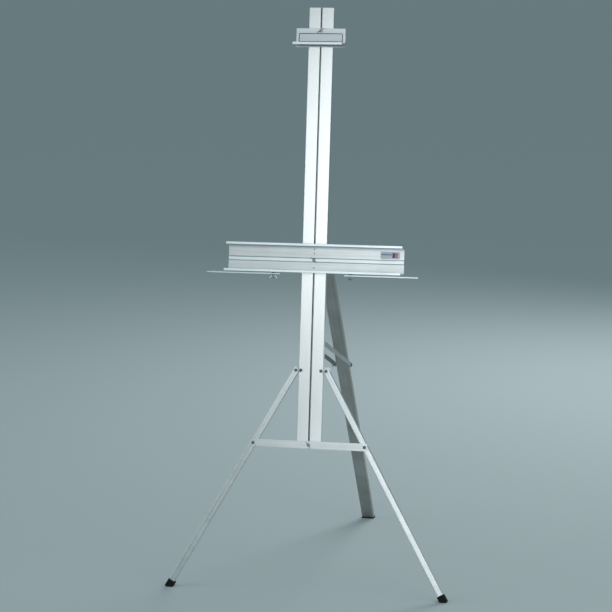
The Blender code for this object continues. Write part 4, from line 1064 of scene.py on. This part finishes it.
def rear_pad_mesh():
    sole = moved(block(REAR_LEG_WIDTH + 0.003, 0.033, REAR_PAD_THICKNESS, 0.0010, 4),
                 (0.0, 0.0, REAR_PAD_THICKNESS / 2))
    front = (REAR_LEG_DEPTH / 2 - REAR_LEG_WALL - GAP) / math.cos(REAR_SLOPE)
    back = (REAR_LEG_DEPTH / 2) / math.cos(REAR_SLOPE)
    low = REAR_PAD_THICKNESS - 0.001
    high = 0.024
    lean = math.tan(REAR_SLOPE)
    tongue = [(-front - low * lean, low), (back - low * lean, low),
              (back - high * lean, high), (-front - high * lean, high)]
    plug = moved(plate([rounded(tongue, 0.0008, 3)], REAR_LEG_WIDTH - 2 * REAR_LEG_WALL - 2 * GAP),
                 rotation=FACE_SIDE)
    return eased(joined(sole, [plug]), PLATE_EDGE, angle=40.0)


def open_stud_place(fold):
    """Where the folded rear leg's stud lies from the brace's pivot, along the mast's Y and Z."""
    leg = REAR_LEG_OPEN - fold
    y = REAR_HINGE_Y + BRACE_STUD_DISTANCE * math.sin(leg) + BRACE_STUD_OFFSET * math.cos(leg)
    z = REAR_HINGE_Z - BRACE_STUD_DISTANCE * math.cos(leg) + BRACE_STUD_OFFSET * math.sin(leg)
    return (y - BRACE_PIVOT_Y, z - BRACE_PIVOT_Z)


BRACE_OPEN = math.atan2(open_stud_place(0.0)[0], -open_stud_place(0.0)[1])


def brace_stud_place(fold):
    """The same place in the axes of the brace, which turns as the leg folds."""
    y, z = open_stud_place(fold)
    angle = BRACE_OPEN - BRACE_TURN_RATIO * fold
    return (y * math.cos(angle) + z * math.sin(angle), z * math.cos(angle) - y * math.sin(angle))


def brace_bar_mesh():
    half = BRACE_HEIGHT / 2
    end = brace_stud_place(0.0)[1] - 0.010
    outline = arc((0.0, 0.0), half, 0, 180, 24) + arc((0.0, end + half), half, 180, 360, 24)
    bar = plate([outline, circle((0.0, 0.0), HOLE_M5)], BRACE_THICKNESS)
    path = [brace_stud_place(math.radians(0.25 * step)) for step in range(9)]
    notch = plate([notch_outline(path, M5 + NOTCH_ROOM)], 0.010)
    return moved(eased(cut(bar, [notch]), PLATE_EDGE, 3), rotation=FACE_SIDE)


def show_rear_leg():
    show("rear_leg_channel", rear_leg_mesh(), "rear_leg_aluminium", "rear_leg", REAR)
    show("rear_leg_pad", rear_pad_mesh(), "rubber", "rear_leg",
         at(REAR, (0.0, 0.0, -rear_leg_length()), (-REAR_SLOPE, 0.0, 0.0)))
    stud_y = BRACE_STUD_OFFSET
    stud_z = -BRACE_STUD_DISTANCE
    nut_base = BRACE_OUTER_X + WASHER_THICKNESS + GAP
    length = BRACE_OUTER_X + nut_base + WING_NUT_HEIGHT + STUD_END
    stud = pan_head(M5, length, BRACE_STUD_HEAD, threads=0.016)
    fasten("brace_stud", stud, "rear_leg", REAR, (BRACE_OUTER_X, stud_y, stud_z), HEAD_RIGHT)
    half = BRACE_INNER_X - GAP
    show("brace_sleeve", ring_mesh(HOLE_M5, BRACE_SLEEVE, 2 * half, 0.0003), "brace_aluminium",
         "rear_leg", at(REAR, (-half, stud_y, stud_z), HEAD_RIGHT))
    fasten("brace_stud_washer", WASHER, "rear_leg", REAR, (-BRACE_OUTER_X, stud_y, stud_z), HEAD_LEFT)
    show_wing_nut("brace_wing_nut", "brace_nut", at(REAR, (-nut_base, stud_y, stud_z), HEAD_LEFT))
    brace = at(MAST, (0.0, BRACE_PIVOT_Y, BRACE_PIVOT_Z), (BRACE_OPEN, 0.0, 0.0))
    bar = brace_bar_mesh()
    for name, side in SIDES:
        show("brace_bar_" + name, bar, "brace_aluminium", name + "_brace",
             at(brace, (side * (BRACE_INNER_X + BRACE_THICKNESS / 2), 0.0, 0.0)))


# ---- tray
def tray_mesh():
    web = -TRAY_BACK - TRAY_WALL
    band = web - TRAY_BAND
    low = TRAY_BOLT_Z - TRAY_BAND_HEIGHT / 2
    high = TRAY_BOLT_Z + TRAY_BAND_HEIGHT / 2
    shelf = -TRAY_BACK - TRAY_SHELF_DEPTH
    ledge = -TRAY_BACK - TRAY_FLANGE_DEPTH
    top = TRAY_HEIGHT
    wall = TRAY_WALL
    section = [((-TRAY_BACK, 0.0), 0.0007), ((shelf, 0.0), 0.0012), ((shelf, TRAY_LIP), 0.0010),
               ((shelf + wall, TRAY_LIP), 0.0010), ((shelf + wall, wall), 0.0012), ((web, wall), 0.0014),
               ((web, low), 0.0003), ((band, low + TRAY_BAND), 0.0005), ((band, high - TRAY_BAND), 0.0005),
               ((web, high), 0.0003), ((web, top - wall), 0.0014), ((ledge, top - wall), 0.0012),
               ((ledge, top + TRAY_TOP_LIP), 0.0010), ((ledge + wall, top + TRAY_TOP_LIP), 0.0010),
               ((ledge + wall, top), 0.0012), ((-TRAY_BACK, top), 0.0007)]
    body = moved(plate([rounded(*zip(*section), 6)], TRAY_LENGTH), (TRAY_OFFSET, 0.0, 0.0), FACE_SIDE)
    holes = [drill(HOLE_M5, WALL_DRILL, (0.0, 0.0, TRAY_BOLT_Z))]
    holes += [drill(TRAY_HOLE, WALL_DRILL, (0.0, 0.0, z), steps=24) for z in TRAY_HOLES_Z]
    holes += [drill(HOLE_M5, WALL_DRILL, (side * BAR_SCREW_X, BAR_Y, 0.0), HEAD_DOWN)
              for _, side in SIDES]
    return eased(cut(body, holes), EXTRUSION_EDGE)


def extension_bar_mesh(side):
    middle = side * (BAR_INNER_X + BAR_LENGTH / 2)
    room = 0.0004
    start = (side * (BAR_SCREW_X - room), 0.0)
    end = (side * (BAR_SCREW_X + BAR_TRAVEL + room), 0.0)
    outlines = [rectangle(BAR_LENGTH, BAR_WIDTH, 0.003, (middle, 0.0)), long_hole(start, end, M5 + room)]
    return eased(plate(outlines, BAR_THICKNESS), 0.00040, 3)


def show_tray():
    show("tray_extrusion", tray_mesh(), "tray_aluminium", "tray", TRAY)
    slot_clamp("tray", TRAY @ shift(0.0, 0.0, TRAY_BOLT_Z), TRAY_BACK + TRAY_WALL + TRAY_BAND + GAP, 45.0,
               "tray", "tray", "tray_nut")
    face = TRAY_BACK + TRAY_WALL + GAP
    film = plate([rectangle(STICKER_WIDTH, STICKER_HEIGHT, 0.002)], STICKER_THICKNESS)
    sticker = eased(film, 0.00008)
    show("tray_sticker", sticker, "sticker", "tray",
         at(TRAY, (STICKER_X, -face - STICKER_THICKNESS / 2, STICKER_Z), FACE_FRONT))
    bar_top = -BAR_SPACER - 2 * GAP
    washer_top = bar_top - BAR_THICKNESS - GAP
    nut_top = washer_top - WASHER_THICKNESS - GAP
    screw = pan_head(M5, TRAY_WALL + GAP - nut_top + WING_NUT_HEIGHT + STUD_END, BAR_SCREW_HEAD, 0.0024,
                     threads=0.014)
    spacer = ring_mesh(HOLE_M5, 0.0060, BAR_SPACER, 0.0003)
    for name, side in SIDES:
        x = side * BAR_SCREW_X
        show("extension_bar_" + name, extension_bar_mesh(side), "bar_aluminium", name + "_extension",
             at(TRAY, (0.0, BAR_Y, bar_top - BAR_THICKNESS / 2)))
        fasten("bar_screw_" + name, screw, "tray", TRAY, (x, BAR_Y, TRAY_WALL + GAP))
        show("bar_spacer_" + name, spacer, "nylon", "tray", at(TRAY, (x, BAR_Y, -GAP), HEAD_DOWN))
        fasten("bar_washer_" + name, WASHER, "tray", TRAY, (x, BAR_Y, washer_top), HEAD_DOWN)
        turned_by = (math.pi, 0.0, 0.0 if side < 0 else math.radians(75))
        show_wing_nut("bar_wing_nut_" + name, name + "_extension_nut",
                      at(TRAY, (x, BAR_Y, nut_top), turned_by))


# ---- canvas holder
def holder_mesh():
    web = -TRAY_BACK - TRAY_WALL
    front = -TRAY_BACK - HOLDER_FLANGE_DEPTH
    under = HOLDER_FLANGE_Z
    over = HOLDER_FLANGE_Z + TRAY_WALL
    wall = TRAY_WALL
    section = [((-TRAY_BACK, 0.0), 0.0007), ((web, 0.0), 0.0007), ((web, under), 0.0014),
               ((front + wall, under), 0.0012), ((front + wall, over - HOLDER_LIP), 0.0010),
               ((front, over - HOLDER_LIP), 0.0010), ((front, over), 0.0012), ((web, over), 0.0014),
               ((web, HOLDER_HEIGHT), 0.0008), ((-TRAY_BACK, HOLDER_HEIGHT), 0.0008)]
    body = moved(plate([rounded(*zip(*section), 6)], HOLDER_LENGTH), rotation=FACE_SIDE)
    hole = drill(HOLE_M5, WALL_DRILL, (0.0, 0.0, HOLDER_BOLT_Z))
    return eased(cut(body, [hole]), EXTRUSION_EDGE)


def show_holder():
    show("holder_extrusion", holder_mesh(), "holder_aluminium", "holder", HOLDER)
    face = TRAY_BACK + TRAY_WALL + GAP
    label = eased(plate([rectangle(LABEL_WIDTH, LABEL_HEIGHT, 0.003)], LABEL_THICKNESS), 0.00010)
    show("holder_label", label, "label", "holder",
         at(HOLDER, (0.0, -face - LABEL_THICKNESS / 2, LABEL_Z), FACE_FRONT))
    slot_clamp("holder", HOLDER @ shift(0.0, 0.0, HOLDER_BOLT_Z), face, -35.0, "holder", "holder",
               "holder_nut")


# ---- studio
def make_floor():
    shape = bmesh.new()
    bmesh.ops.create_circle(shape, cap_ends=True, segments=96, radius=FLOOR_RADIUS)
    mesh = mesh_of(shape, "floor")
    floor = linked("floor", mesh)
    floor.location = (0.0, 0.0, FLOOR_Z)
    paper = Finish("floor_paper", 0.0, 0.85, specular=0.2)
    paper.shader["Base Color"].default_value = (*FLOOR_COLOUR, 1.0)
    mesh.materials.append(paper.material)


def aimed(thing, place, target):
    thing.location = place
    thing.rotation_euler = (Vector(target) - Vector(place)).to_track_quat("-Z", "Y").to_euler()


def area_light(name, place, target, size, power, colour):
    data = bpy.data.lights.new(name, "AREA")
    data.shape = "RECTANGLE"
    data.size, data.size_y = size
    data.energy = power
    data.color = colour
    light = linked(name, data)
    aimed(light, place, target)
    light.visible_camera = False


def make_world():
    """A soft sky whose colour at the horizon is that of the far floor."""
    world = bpy.data.worlds.new("studio")
    bpy.context.scene.world = world
    world.use_nodes = True
    nodes = world.node_tree.nodes
    link = world.node_tree.links.new
    background = nodes["Background"]
    parts = nodes.new("ShaderNodeSeparateXYZ")
    link(nodes.new("ShaderNodeTexCoord").outputs["Generated"], parts.inputs[0])
    blend = nodes.new("ShaderNodeValToRGB")
    link(parts.outputs["Z"], blend.inputs["Fac"])
    for element, colour in zip(blend.color_ramp.elements, WORLD_COLOURS):
        element.color = (*colour, 1.0)
    link(blend.outputs["Color"], background.inputs["Color"])
    background.inputs["Strength"].default_value = 1.0


def make_studio():
    make_floor()
    make_world()
    for light in LIGHTS:
        area_light(*light)
    bpy.context.scene.view_settings.view_transform = "Standard"


def make_camera():
    data = bpy.data.cameras.new("camera")
    data.sensor_fit = "HORIZONTAL"
    data.sensor_width = SENSOR
    data.lens = FOCAL_PIXELS / PICTURE * SENSOR
    data.clip_end = FAR_CLIP
    camera = linked("camera", data)
    aimed(camera, CAMERA_PLACE, CAMERA_TARGET)
    bpy.context.scene.camera = camera


show_mast()
show_mast_brackets()
show_front_legs()
show_rear_leg()
show_tray()
show_holder()
make_studio()
make_camera()

bpy.context.view_layer.update()
